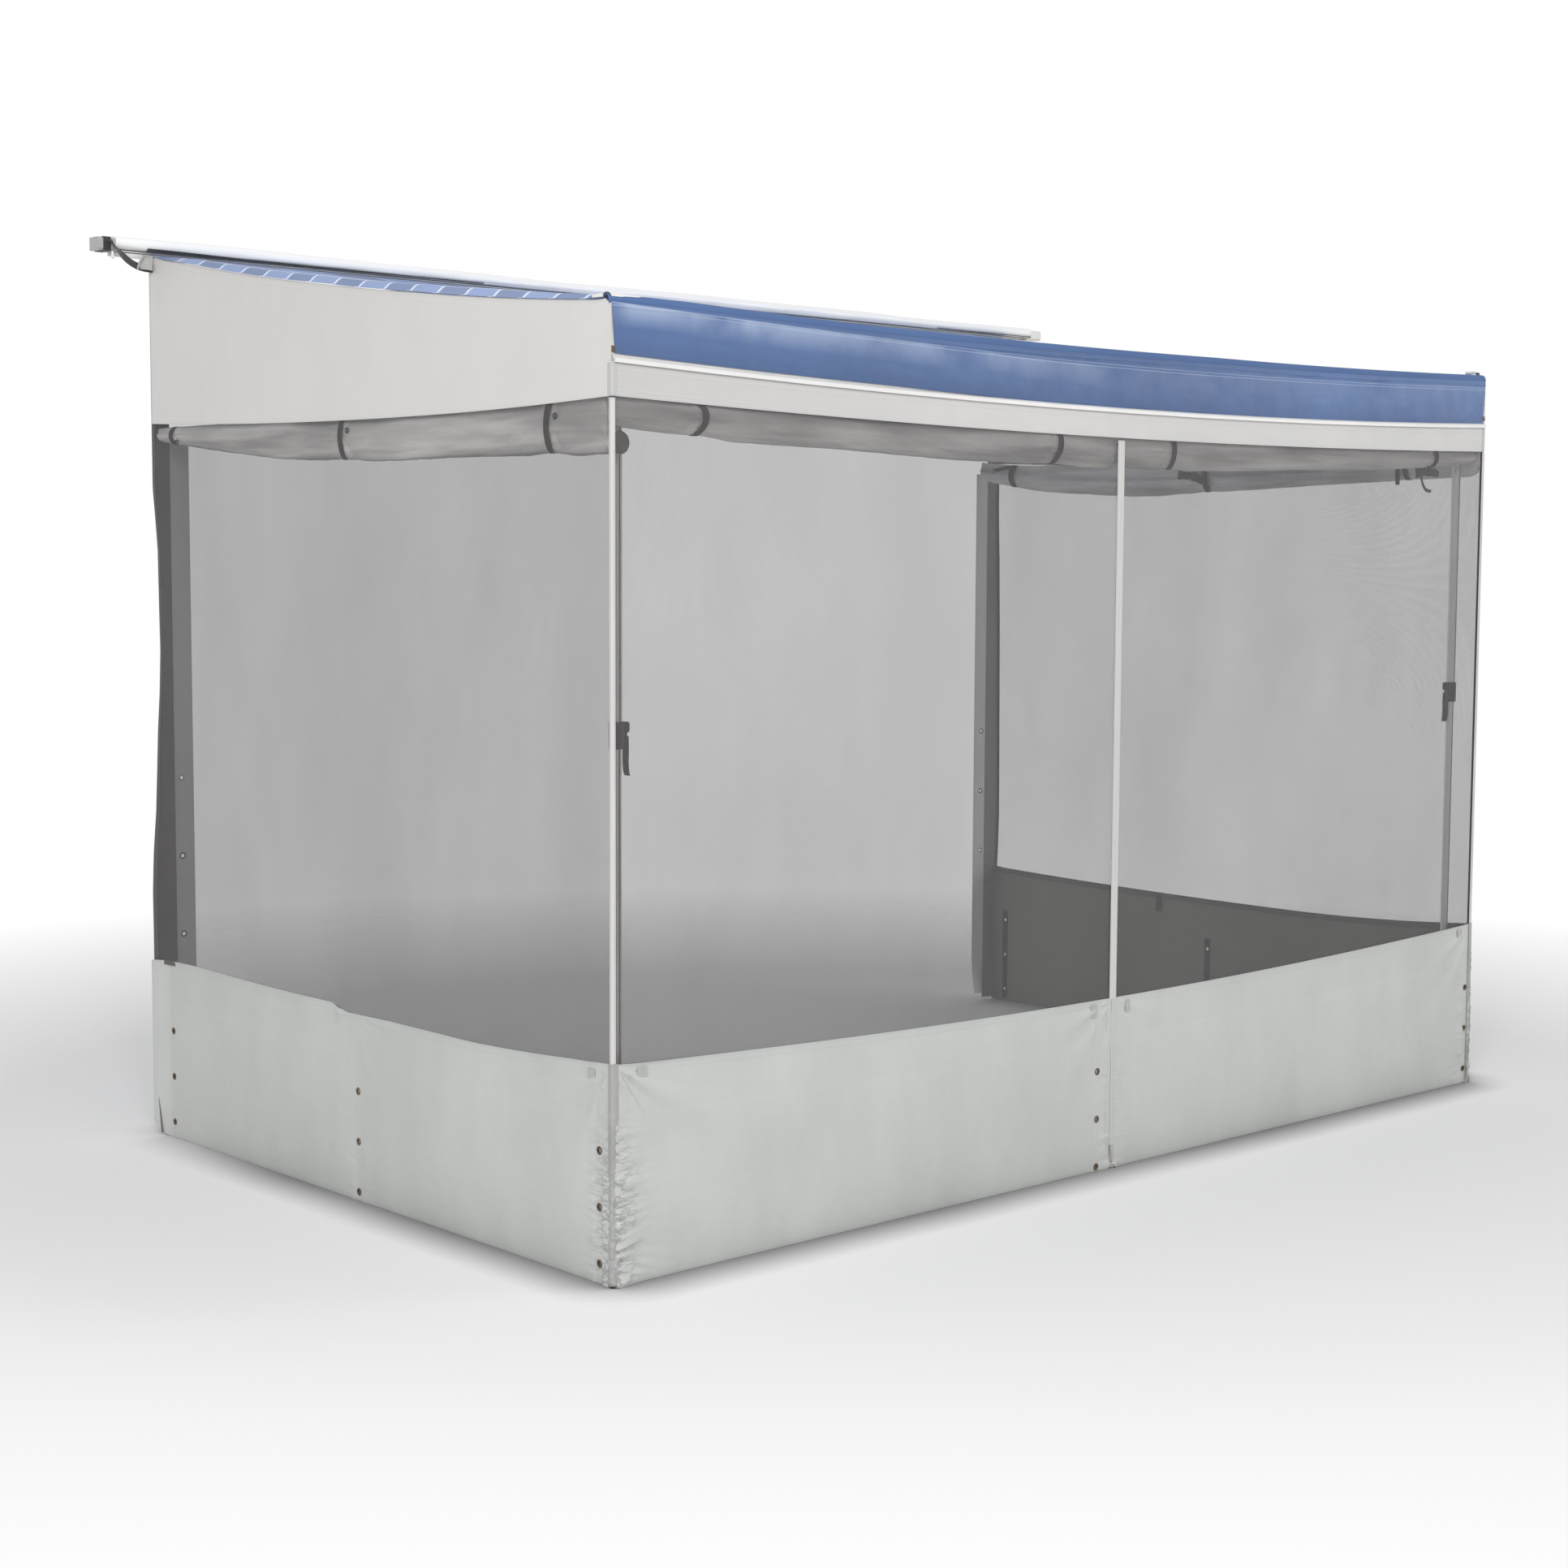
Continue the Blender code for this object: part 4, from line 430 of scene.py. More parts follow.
LOOK = {
    "gable": cloth_look("gable_vinyl", (0.655, 0.645, 0.628), crumple=0.35),
    # the header's drift is painted shade at its left end, lighter towards the right
    "header": cloth_look("header_vinyl", (0.600, 0.592, 0.587), crumple=0.35, drift=(0.05, 1.3, 0.88, 1.0)),
    "corner": cloth_look("corner_binding", (0.500, 0.495, 0.490), crumple=0.35, insets=(0.002,)),
    "skirt": skirt_look("skirt_vinyl", 0.85),
    "far_skirt": skirt_look("far_skirt_vinyl", 0.12),
    # painted shade: the skirts' inner faces are the same vinyl, given a dark colour for the shade inside the
    # room
    "inner_shade": cloth_look("skirt_inner_painted_shade", (0.220, 0.226, 0.212), 0.6, crumple=0.7, insets=(), patch=0.06),
    "placket": cloth_look("placket_vinyl", (0.345, 0.350, 0.332), 0.6, crumple=1.4, insets=(), patch=0.30),
    "valance": valance_look(),
    "canopy": canopy_look(),
    "curtain": cloth_look("curtain_cloth", (0.93, 0.92, 0.91), 0.62, 1.3, insets=(), patch=0.05, creases=0.32),
    # painted shade: the left roll's end faces by the front corner are dark because they lie in shade
    "curtain_end_shade": cloth_look("curtain_end_painted_shade", (0.16, 0.158, 0.156), 0.7, 1.0, insets=(), patch=0.1),
    "mesh": mesh_look("insect_mesh", 0.105),
    "front_mesh": mesh_look("front_insect_mesh", 0.355),
    "close_mesh": mesh_look("close_insect_mesh", 0.425, thin=0.27),
    "flap": cloth_look("flap_vinyl", (0.80, 0.81, 0.79), insets=(0.004,)),
    "seal": cloth_look("seal_cloth", (0.155, 0.151, 0.150), 0.8, 1.2, insets=(0.006,), patch=0.12, thread=1.6),
    "far_seal": cloth_look("far_seal_cloth", (0.235, 0.228, 0.224), 0.8, 1.2, insets=(0.006,), patch=0.12),
    "binding": cloth_look("binding_tape", (0.135, 0.132, 0.130), 0.7, insets=(0.002,), thread=1.5),
    "tape": cloth_look("zip_tape", (0.62, 0.61, 0.60), 0.6, 0.3, insets=(0.002,), thread=0.85, dirt=0.1),
    "bag": cloth_look("bag_vinyl", (0.94, 0.94, 0.94), 0.42, 0.4, insets=(), patch=0.010, dirt=0.02, coat=0.5),
    "patch": cloth_look("patch_vinyl", (0.415, 0.424, 0.415), 0.5, 0.3, insets=(0.002,), thread=1.3),
    "webbing": webbing_look("dark_webbing", (0.035, 0.034, 0.035)),
    "dark_tape": webbing_look("dark_zip_tape", (0.030, 0.032, 0.036)),
    "white_cord": webbing_look("white_tie", (0.78, 0.78, 0.77)),
    "leg": leg_look(),
    "paint": hard_look("white_paint", (0.76, 0.755, 0.74), 0.34, stretch=0.15),
    "plastic": hard_look("dark_plastic", (0.040, 0.040, 0.042), 0.48, orange_peel=0.35, wear=0.15),
    "grey_plastic": hard_look("grey_end_plastic", (0.42, 0.415, 0.405), 0.5, orange_peel=0.3, wear=0.08),
    "rubber": hard_look("foot_rubber", (0.030, 0.030, 0.030), 0.75, orange_peel=0.5, wear=0.2),
    "steel": hard_look("zip_steel", (0.60, 0.60, 0.60), 0.30, 1.0, wear=0.08),
    "dull_brass": hard_look("dull_brass", (0.150, 0.115, 0.070), 0.45, 0.7, grain=0.05, wear=0.3),
    "teeth": hard_look("zip_teeth", (0.56, 0.55, 0.54), 0.45, wear=0.08),
}


# Curves that the cloth hangs in, as in the frame

def dip(x, depth):
    return depth * (1.0 - (x / HALF) ** 2)


def side_edge(y, low, front_rise, rear_rise):
    if y < 0.70:
        return low + front_rise * ((0.70 - y) / 0.70) ** 2
    return low + rear_rise * ((y - 0.70) / (DEPTH - 0.70)) ** 2


def gable_foot(y):
    return side_edge(y, 2.050, 0.013, 0.034)


def side_skirt_top(y):
    return side_edge(y, 0.495, 0.031, 0.028)


def front_skirt_top(x):
    return 0.526 - dip(x, 0.043)


def header_foot(x):
    return 2.063 - dip(x, 0.026)


def beam_dip(x):
    return max(dip(x, BEAM_DIP), 0.0)


def crest_lift(x):
    """How far the canopy's crest stands off the beam's curve."""
    return profile(x, CREST)


def canopy_z(x, y):
    front_y = BEAM_FRONT + BEAM_RADIUS
    front_z = BEAM_TOP_CENTRE + BEAM_RADIUS + 0.0003
    t = (y - front_y) / (RAIL_FRONT - front_y)
    bow = 4.0 * t * (1.0 - t)
    sag = 0.031 * bow + max(dip(x, 0.030), 0.0) * bow
    inside = bell(max(HALF + x, 0.0), 0.019)
    slack = profile(y, EDGE) * inside - profile(y, HUMP) * (1.0 - inside) * bell(HALF + x, 0.25)
    return front_z + (CANOPY_REAR_Z - front_z) * t - sag + (crest_lift(x) - beam_dip(x)) * (1.0 - t) - slack


# Pieces of the scene: sheets, round bodies and small hard ones

def finish_piece(mesh, name, look, smooth=60.0):
    mesh.validate()
    mesh.materials.append(LOOK[look])
    mesh.shade_smooth()
    mesh.set_sharp_from_angle(angle=radians(smooth))
    made = bpy.data.objects.new(name, mesh)
    bpy.context.scene.collection.objects.link(made)
    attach(made, "root")
    return made


def run_lengths(points, axis):
    total = np.cumsum(np.linalg.norm(np.diff(points, axis=axis), axis=2), axis=axis)
    return np.pad(total, [(1, 0), (0, 0)] if axis == 0 else [(0, 0), (1, 0)])


def cloth(name, columns, inward, thickness, look, loop=False, inner_shade=None):
    """A closed sheet from columns of points on its outer face, or of (point, inward) pairs where inward is
    None; its UVs carry its measures in metres."""
    face = np.array(columns, float)
    if inward is None:
        face, inward = face[:, :, 0], face[:, :, 1]
    face[:, :, 1] += SHIFT
    back = face + np.array(inward, float) * thickness
    count, rows = face.shape[:2]
    half = count * rows
    lines = np.arange(half).reshape(count, rows).tolist()
    faces = []
    for a, b in zip(lines, lines[1:] + lines[:1] if loop else lines[1:]):
        for j in range(rows - 1):
            faces.append((a[j], b[j], b[j + 1], a[j + 1]))
            faces.append((a[j] + half, a[j + 1] + half, b[j + 1] + half, b[j] + half))
        faces += [(a[j], a[j] + half, b[j] + half, b[j]) for j in (0, rows - 1)]
    if not loop:
        for j in range(rows - 1):
            faces += [(a[j], a[j + 1], a[j + 1] + half, a[j] + half) for a in (lines[0], lines[-1])]
    mesh = bpy.data.meshes.new(name)
    mesh.from_pydata(np.concatenate([face, back]).reshape(-1, 3).tolist(), [], faces)
    bm = bmesh.new()
    bm.from_mesh(mesh)
    bmesh.ops.recalc_face_normals(bm, faces=bm.faces)
    bm.to_mesh(mesh)
    bm.free()
    along, up = run_lengths(face, 0), run_lengths(face, 1)
    side = np.full_like(along, 1.0) if loop else np.minimum(along, along[-1] - along)
    index = np.empty(len(mesh.loops), int)
    mesh.loops.foreach_get("vertex_index", index)
    ends = np.minimum(up, up[:, -1:] - up)
    for layer, axes in (("UVMap", (along, up)), ("edge", (side, ends))):
        pairs = np.stack([axis.reshape(-1)[index % half] for axis in axes], axis=1)
        mesh.uv_layers.new(name=layer).data.foreach_set("uv", pairs.reshape(-1))
    made = finish_piece(mesh, name, look)
    # the back faces can take a dark look that paints the shade inside
    if inner_shade:
        mesh.materials.append(LOOK[inner_shade])
        for polygon in mesh.polygons:
            polygon.material_index = int(min(polygon.vertices) >= half)
    quads = np.cross(face[1:, 1:] - face[:-1, :-1], face[1:, :-1] - face[:-1, 1:])
    made["flat_area"] = float(np.linalg.norm(quads, axis=2).sum() / 2)
    made["flat_size"] = (float(along[-1].max()), float(up[:, -1].max()))
    return made


def declare(node):
    if node:
        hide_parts(node)


def solid(bm, name, look, smooth=40.0):
    bmesh.ops.recalc_face_normals(bm, faces=bm.faces)
    mesh = bpy.data.meshes.new(name)
    bm.to_mesh(mesh)
    bm.free()
    return finish_piece(mesh, name, look, smooth)


def bridge(bm, first, second):
    """Join two rings of vertices with quads."""
    for i in range(len(first)):
        j = (i + 1) % len(first)
        bm.faces.new((first[i], first[j], second[j], second[i]))


def flat_end(bm, ring, way):
    bm.faces.new(ring[::int(way)])


def tube(stations, sides, point, end=flat_end):
    """A round body in room places, from point(station, angle)."""
    bm = bmesh.new()
    rings = []
    for station in stations:
        spots = [point(station, 2 * pi * i / sides) for i in range(sides)]
        rings.append([bm.verts.new((x, y + SHIFT, z)) for x, y, z in spots])
    for first, second in zip(rings, rings[1:]):
        bridge(bm, first, second)
    end(bm, rings[0], 1.0)
    end(bm, rings[-1], -1.0)
    return bm


def turned(outline, segments=24):
    """A body turned about Z from a closed (radius, height) outline."""
    bm = bmesh.new()
    angles = [2 * pi * i / segments for i in range(segments)]
    rings = [[bm.verts.new((r * cos(a), r * sin(a), z)) for a in angles] for r, z in outline]
    for first, second in zip(rings, rings[1:] + rings[:1]):
        bridge(bm, first, second)
    return bm


def moved(bm, place):
    bmesh.ops.transform(bm, matrix=place, verts=bm.verts)
    return bm


def rounded_box(size, bevel, place):
    bm = bmesh.new()
    bmesh.ops.create_cube(bm, size=1.0)
    bmesh.ops.scale(bm, vec=size, verts=bm.verts)
    bmesh.ops.bevel(bm, geom=list(bm.edges), offset=bevel, segments=3, affect="EDGES", profile=0.5)
    return moved(bm, place)


def joined(shapes):
    whole = bmesh.new()
    for shape in shapes:
        mesh = bpy.data.meshes.new("shape")
        shape.to_mesh(mesh)
        shape.free()
        whole.from_mesh(mesh)
        bpy.data.meshes.remove(mesh)
    return whole


def shifted(x, y, z):
    return Matrix.Translation((x, y, z))


def at_room(x, y, z):
    """The place of a room point, in the scene's coordinates."""
    return shifted(x, y + SHIFT, z)


def facing(centre, outward):
    """A frame at a room point whose Z points outward."""
    return at_room(*centre) @ Vector((0, 0, 1)).rotation_difference(Vector(outward)).to_matrix().to_4x4()


def punch(piece, centres, outward):
    """Cut the grommets' holes through a sheet."""
    shapes = []
    for centre in centres:
        bm = bmesh.new()
        bmesh.ops.create_cone(bm, cap_ends=True, segments=24, radius1=HOLE_RADIUS, radius2=HOLE_RADIUS,
                              depth=0.05)
        shapes.append(moved(bm, facing(centre, outward)))
    whole = joined(shapes)
    bmesh.ops.recalc_face_normals(whole, faces=whole.faces)
    tool_mesh = bpy.data.meshes.new("holes")
    whole.to_mesh(tool_mesh)
    whole.free()
    tool = bpy.data.objects.new("holes", tool_mesh)
    bpy.context.scene.collection.objects.link(tool)
    cut = piece.modifiers.new("holes", "BOOLEAN")
    cut.operation = "DIFFERENCE"
    cut.object = tool
    cut.solver = "EXACT"
    bpy.context.view_layer.update()
    got = bpy.data.meshes.new_from_object(piece.evaluated_get(bpy.context.evaluated_depsgraph_get()))
    piece.modifiers.clear()
    old = piece.data
    piece.data = got
    bpy.data.meshes.remove(old)
    bpy.data.objects.remove(tool)
    bpy.data.meshes.remove(tool_mesh)


def grommets(name, centres, outward, depth):
    """Crimped brass eyelets with a rolled lip on both sides of the sheet."""
    radius, bore, lip = 0.0105, 0.0056, 0.0013
    front = [(bore, lip * 0.4), (bore + 0.0012, lip), (radius - 0.002, lip * 0.8), (radius, 0.0002)]
    outline = front + [(r, -depth - z) for r, z in reversed(front)]
    shapes = [moved(turned(outline), facing(centre, outward)) for centre in centres]
    return solid(joined(shapes), name, "dull_brass", smooth=50.0)


# Walls: side is -1 on the left, 1 on the right and 0 at the front

def wall_point(side, s, z, out=0.0):
    """A room point s along a wall, at a height and out from its plane."""
    return (side * (HALF + out), s, z) if side else (s, -out, z)


def outward(side):
    return (side, 0.0, 0.0) if side else (0.0, -1.0, 0.0)


def inward(side):
    return (-side, 0.0, 0.0) if side else (0.0, 1.0, 0.0)


def lifted(edge, by):
    """An edge curve moved up by a height."""
    return lambda s: edge(s) + by


def panel(name, side, stations, low, high, rows, layer, look, push=lambda s, v, z: 0.0, thickness=VINYL,
          inner_shade=None):
    """A sheet on a wall between two edge curves; push(s, v, z) lifts it off its layer."""
    columns = []
    for s in stations:
        foot, top = low(s), high(s)
        heights = [(j / rows, foot + (top - foot) * j / rows) for j in range(rows + 1)]
        columns.append([wall_point(side, s, z, layer + push(s, v, z)) for v, z in heights])
    return cloth(name, columns, inward(side), thickness, look, inner_shade=inner_shade)


def flat_strip(name, side, s, low, out, width, length, look, thickness=VINYL):
    """A strip of webbing or vinyl up a wall, with slightly eased corners."""
    columns = []
    for t in spread(0.0, length, 24):
        half = width / 2 - 0.0008 * (1.0 - min(min(t, length - t) / 0.002, 1.0))
        columns.append([wall_point(side, s + w, low + t, out) for w in (-half, -half / 3, half / 3, half)])
    return cloth(name, columns, inward(side), thickness, look)


def hold(v, s, low, high):
    """0 at the sewn edges of a panel and 1 in its middle."""
    return sin(pi * v) * sin(pi * (s - low) / (high - low))


def seal_trim(side, z):
    """How far a wall seal's outer edge has drawn in, or out where negative, at a height."""
    return profile(z, (TRIM_Z, TRIM_LEFT if side < 0 else TRIM_RIGHT))


def measure_above_curtain(mesh):
    """A UV layer with each point's height above the left roll's foot."""
    pairs = []
    for loop in mesh.loops:
        spot = mesh.vertices[loop.vertex_index].co
        y = spot.y - SHIFT
        section = roll_section(y, LEFT_STRAPS, SIDE_ROLL, left_foot, 0.0)
        pairs += [spot.z - (section[2] - section[1] if y > 0.038 else 1.9325), 0.0]
    mesh.uv_layers.new(name="curtain").data.foreach_set("uv", pairs)


def build_screens():
    for word, side in SIDES:
        def push(y, v, z, side=side):
            soft = 0.0045 * wander(y * 1.7, z * 0.9, side * 5.0)
            soft += 0.0018 * wander(y * 9.0, z * 1.3, side * 3.0)
            drawn = 0.9 * seal_trim(side, z) * clamp((y - 2.00) / 0.13) ** 2
            return -abs(soft) * hold(v, y, 0.0013, SIDE_END) - drawn
        look = "close_mesh" if side < 0 else "mesh"
        made = panel("insect_screen_" + word, side, spread(0.0013, SIDE_END, 110),
                     lifted(side_skirt_top, -0.010), lifted(gable_foot, 0.010), 60, 0.0, look,
                     push, NET)
        if side < 0:
            measure_above_curtain(made.data)
        declare("screen_" + word)
    for word, low, high in FRONT_HALVES:
        def push(x, v, z, low=low, high=high):
            soft = 0.004 * wander(x * 1.4, z * 0.8, 9.0) + 0.001 * wander(x * 8.0, z, 1.0)
            return -abs(soft) * hold(v, x, low, high)
        made = panel("insect_screen_front_" + word, 0, spread(low, high, 90), lifted(front_skirt_top, -0.010),
                     lifted(header_foot, 0.010), 60, 0.0, "front_mesh", push, NET)
        declare("screen_front_" + word)


def belly(s, v, columns):
    """The skirt's slack between the pegged columns, with a fold along each column's band."""
    for first, second in zip(columns, columns[1:]):
        if first + 0.014 < s < second - 0.014:
            span = second - first - 0.028
            slack = min(span / 0.6, 1.0) ** 2
            place = s - first - 0.014
            near = min(place, span - place)
            lip = 0.0026 * (1.0 - bell(near, 0.010, 1.0)) * sin(pi * min(v * 1.3, 1.0)) ** 0.5
            drape = slack * sin(pi * place / span) * sin(pi * min(v * 1.05, 1.0))
            return drape * (0.010 + 0.004 * cos(9.0 * s)) + lip * slack
    return 0.0


def skirt_top(side, y):
    """The side skirts' top edge; the left one steps up behind its middle."""
    return side_skirt_top(y) + (profile(y, SKIRT_RISE) if side < 0 else 0.0)


def skirt_foot(side, y):
    """The left skirt's rear lower corner is rounded off."""
    return 0.0004 + (0.040 * max((y - 2.075) / 0.055, 0.0) ** 2.2 if side < 0 else 0.0)


def gathers(distance, z, top, amount, seed):
    """Short pleats that run out from a sewn upright seam, and creases that fan down from its top."""
    near = bell(distance, 0.062, 1.3)
    low = clamp((top - 0.06 - z) / 0.30)
    slant = z + 0.25 * distance * wander(distance * 6.0, z * 9.0, seed + 1.0)
    pleat = 1.2 * abs(wander(distance * 9.0, slant * 38.0, seed)) ** 0.8
    pleat += 0.6 * abs(wander(distance * 14.0, slant * 88.0, seed + 4.0))
    radius = hypot(distance, top - z)
    angle = atan2(top - z, distance + 1e-6)
    fan = cos(11.0 * angle + seed) * bell(radius, 0.24) * min(radius / 0.05, 1.0)
    fan += 0.6 * cos(17.0 * angle + 2.0 * seed) * bell(radius, 0.15) * min(radius / 0.04, 1.0)
    broad = 0.45 * bell(distance, 0.22) * wander(distance * 5.0, z * 9.0, seed + 9.0)
    heap = 1.3 * bell(z, 0.034) * bell(distance, 0.045, 1.0)
    heap *= 0.5 + abs(wander(distance * 20.0, z * 60.0, seed))
    creases = 0.60 * max(fan, -0.6) * min(distance / 0.03, 1.0)
    return amount * (near * pleat * low + creases + broad * low + heap)


def skirt(word, side, stations, foot, top, rows, push, look, strips, binding):
    """A skirt with its grommets, the webbing strips behind them as (name, place, width, grommets' drop), and
    the binding inside its top edge."""
    made = panel("skirt_cloth_" + word, side, stations, foot, top, rows, OUTER, look, push,
                 inner_shade="inner_shade")
    columns = [[wall_point(side, s, z - drop, OUTER) for z in GROMMET_HEIGHTS] for _, s, _, drop in strips]
    centres = sum(columns, [])
    punch(made, centres, outward(side))
    extras = [grommets("skirt_grommets_" + word, centres, outward(side), 0.0034)]
    for (name, s, width, _), column in zip(strips, columns):
        strip = flat_strip("peg_strip_" + name, side, s, 0.010, -0.0004, width, 0.345, "webbing")
        punch(strip, column, outward(side))
        extras.append(strip)
    edge = side_skirt_top if side else front_skirt_top
    extras.append(panel("skirt_binding_" + word, side, binding, lifted(edge, -0.020), lifted(edge, -0.004), 2,
                        -0.0024, "binding", thickness=0.0010))
    declare("skirt_" + word)


def build_skirts():
    for word, side in SIDES:
        def push(y, v, z, side=side):
            top = skirt_top(side, y)
            soft = belly(y, v, (0.0, *SIDE_COLUMNS, SIDE_END))
            soft += gathers(y, z, top, 0.0085, 2.0 + side) * min(y / 0.008, 1.0)
            middle = abs(y - SIDE_COLUMNS[1])
            soft += gathers(middle, z, top, 0.0016, 6.0 + side) * min(middle / 0.012, 1.0)
            soft += 0.0040 * wander(y * 2.6, z * 3.4, side) * sin(pi * min(v, 1.0))
            soft = max(soft, -0.0002) if min(abs(y - c) for c in SIDE_COLUMNS) > 0.013 else 0.0
            if side < 0:
                soft += 0.0050 * bell(y - 1.165, 0.014) * clamp((z - top + 0.050) / 0.040)
                soft += 0.030 * clamp((y - 2.073) / 0.057) ** 1.5
            return soft
        drops = (0.0, LEFT_MIDDLE_DROP if side < 0 else 0.0, 0.0)
        strips = [(f"{word}_{n + 1}", y, 0.024, drops[n]) for n, y in enumerate(SIDE_COLUMNS)]
        skirt(word, side, graded(0.0, SIDE_END, 0.004, 0.016, 0.12, (0.0, 1.165) + SIDE_COLUMNS),
              lambda y: skirt_foot(side, y), lambda y: skirt_top(side, y), 96, push, "skirt", strips,
              spread(0.030, SIDE_END - 0.01, 60))
    plans = ((CENTRE_ZIP_X - 0.060, -HALF, (0.0165, 0.0045), 0.024, CENTRE_DROP, "skirt"),
             (HALF - 0.0245, HALF, (0.0090, 0.0022), 0.020, 0.0, "far_skirt"))
    for (word, low, high), (column, corner_x, pulls, width, drop, look) in zip(FRONT_HALVES, plans):
        def push(x, v, z, ends=(low, column, high), corner_x=corner_x, pulls=pulls):
            top = front_skirt_top(x)
            corner, seam = abs(x - corner_x), abs(x - CENTRE_ZIP_X)
            soft = belly(x, v, ends) + gathers(corner, z, top, pulls[0], 1.0) * min(corner / 0.007, 1.0)
            soft += gathers(seam, z, top, pulls[1], 3.0) * min(seam / 0.010, 1.0)
            soft += 0.0045 * wander(x * 2.4, z * 3.2, 2.0) * sin(pi * min(v, 1.0))
            return max(soft, -0.0002) if abs(x - ends[1]) > 0.013 else 0.0
        skirt("front_" + word, 0, graded(low, high, 0.0035, 0.014, 0.16, (-HALF, CENTRE_ZIP_X, HALF, column)),
              lambda x: 0.0004, front_skirt_top, 100, push, look, [("front_" + word, column, width, drop)],
              spread(low + 0.03, high - 0.03, 60))


def build_gables():
    rail = RAIL_FRONT - 0.002
    for word, side in SIDES:
        def top(y, side=side):
            if y <= 0.0043:
                return WRAP_FOOT - 0.0003 + crest_lift(side * HALF)
            if y >= rail:
                return RAIL_FOOT - 0.0006 - 0.014 * max((y - 2.112) / 0.018, 0.0) ** 2
            return canopy_z(side * HALF, y) - 0.0008

        def push(y, v, z, side=side):
            soft = 0.0045 * abs(wander(y * 1.3, z * 2.0, side * 2.0))
            soft += 0.0012 * wander(y * 7.0, z * 3.0, side)
            soft += 0.004 * cos(12.0 * atan2(2.55 - z, 2.12 - y)) * bell(hypot(y - 2.09, z - 2.54), 0.14)
            return max(soft, 0.0) * hold(v, y, 0.0, SIDE_END) ** 0.5
        stations = [0.0, 0.0043] + spread(0.020, rail, 96) + spread(2.118, SIDE_END, 4)
        made = panel("gable_cloth_" + word, side, stations, gable_foot, top, 36, OUTER, "gable",
                     push)
        declare("gable_" + word)
        ends = sorted((side * (HALF - 0.035), side * (HALF - 0.0002)))
        made = panel("return_cloth_" + word, 0, spread(*ends, 6), lambda x: RAIL_LIP_TOP + 0.006,
                     lambda x: WRAP_FOOT - 0.0024, 16, -0.0022, "gable",
                     lambda x, v, z: -0.0004 * sin(60.0 * z), 0.0012)
        declare("corner_return_" + word)


def build_header():
    def push(x, v, z):
        wave = 0.0011 * wander(x * 6.0, 3.0) * (1.0 - v) ** 2 + 0.0016 * abs(wander(x * 2.0, v)) * sin(pi * v)
        return max(wave, 0.0) * clamp((HALF - abs(x)) / 0.02)

    def bead_point(x, angle):
        return x, -0.0013 + 0.0023 * cos(angle), BEAM_FOOT + 0.0048 - beam_dip(x) + 0.0023 * sin(angle)
    made = panel("header_cloth", 0, spread(-HALF - 0.0021, HALF + 0.0021, 150), header_foot,
                 lambda x: BEAM_FOOT + 0.0030 - beam_dip(x), 14, OUTER, "header", push)
    bead = tube(spread(-HALF + 0.001, HALF - 0.001, 60), 12, bead_point)
    extras = [solid(bead, "header_bead", "header")]
    for word, side in SIDES:
        corner = corner_path(side, OUTER + 0.0010, 0.012, 0.014)
        extras.append(tape("header_corner_" + word, corner, 2.0640, 2.1380, "corner"))
    declare("header_band")


def build_canopy():
    centre_y, centre_z = BEAM_FRONT + BEAM_RADIUS, BEAM_TOP_CENTRE
    over = BEAM_RADIUS + 0.0003 + 0.0015
    half = HALF + 0.006
    columns = []
    for x in graded(-half, half, 0.004, 0.030, 0.15, (-half,)):
        drop = beam_dip(x) - crest_lift(x)
        column = [((x, centre_y - over, WRAP_FOOT - drop), (0, 1, 0))]
        for a in (radians(180.0 - 67.5 * i / 8) for i in range(9)):
            z = centre_z + over * sin(a) - drop
            column.append(((x, centre_y + over * cos(a), z), (0, -cos(a), -sin(a))))
        for y in spread(centre_y + 0.004, RAIL_FRONT, 80):
            t = (y - centre_y) / (RAIL_FRONT - centre_y)
            soft = 0.0035 * wander(x * 1.3, y * 2.2, 4.0) + 0.0012 * wander(x * 5.0, y * 6.0, 8.0)
            soft = max(soft, -0.0002) * sin(pi * clamp(t))
            column.append(((x, y, canopy_z(x, y) + 0.0015 + soft), (0, 0, -1)))
        column.append(((x, RAIL_FRONT + 0.006, CANOPY_REAR_Z + 0.0013), (0, 0, -1)))
        columns.append(column)
    made = cloth("canopy_cloth", columns, None, 0.0010, "canopy")
    declare("canopy")


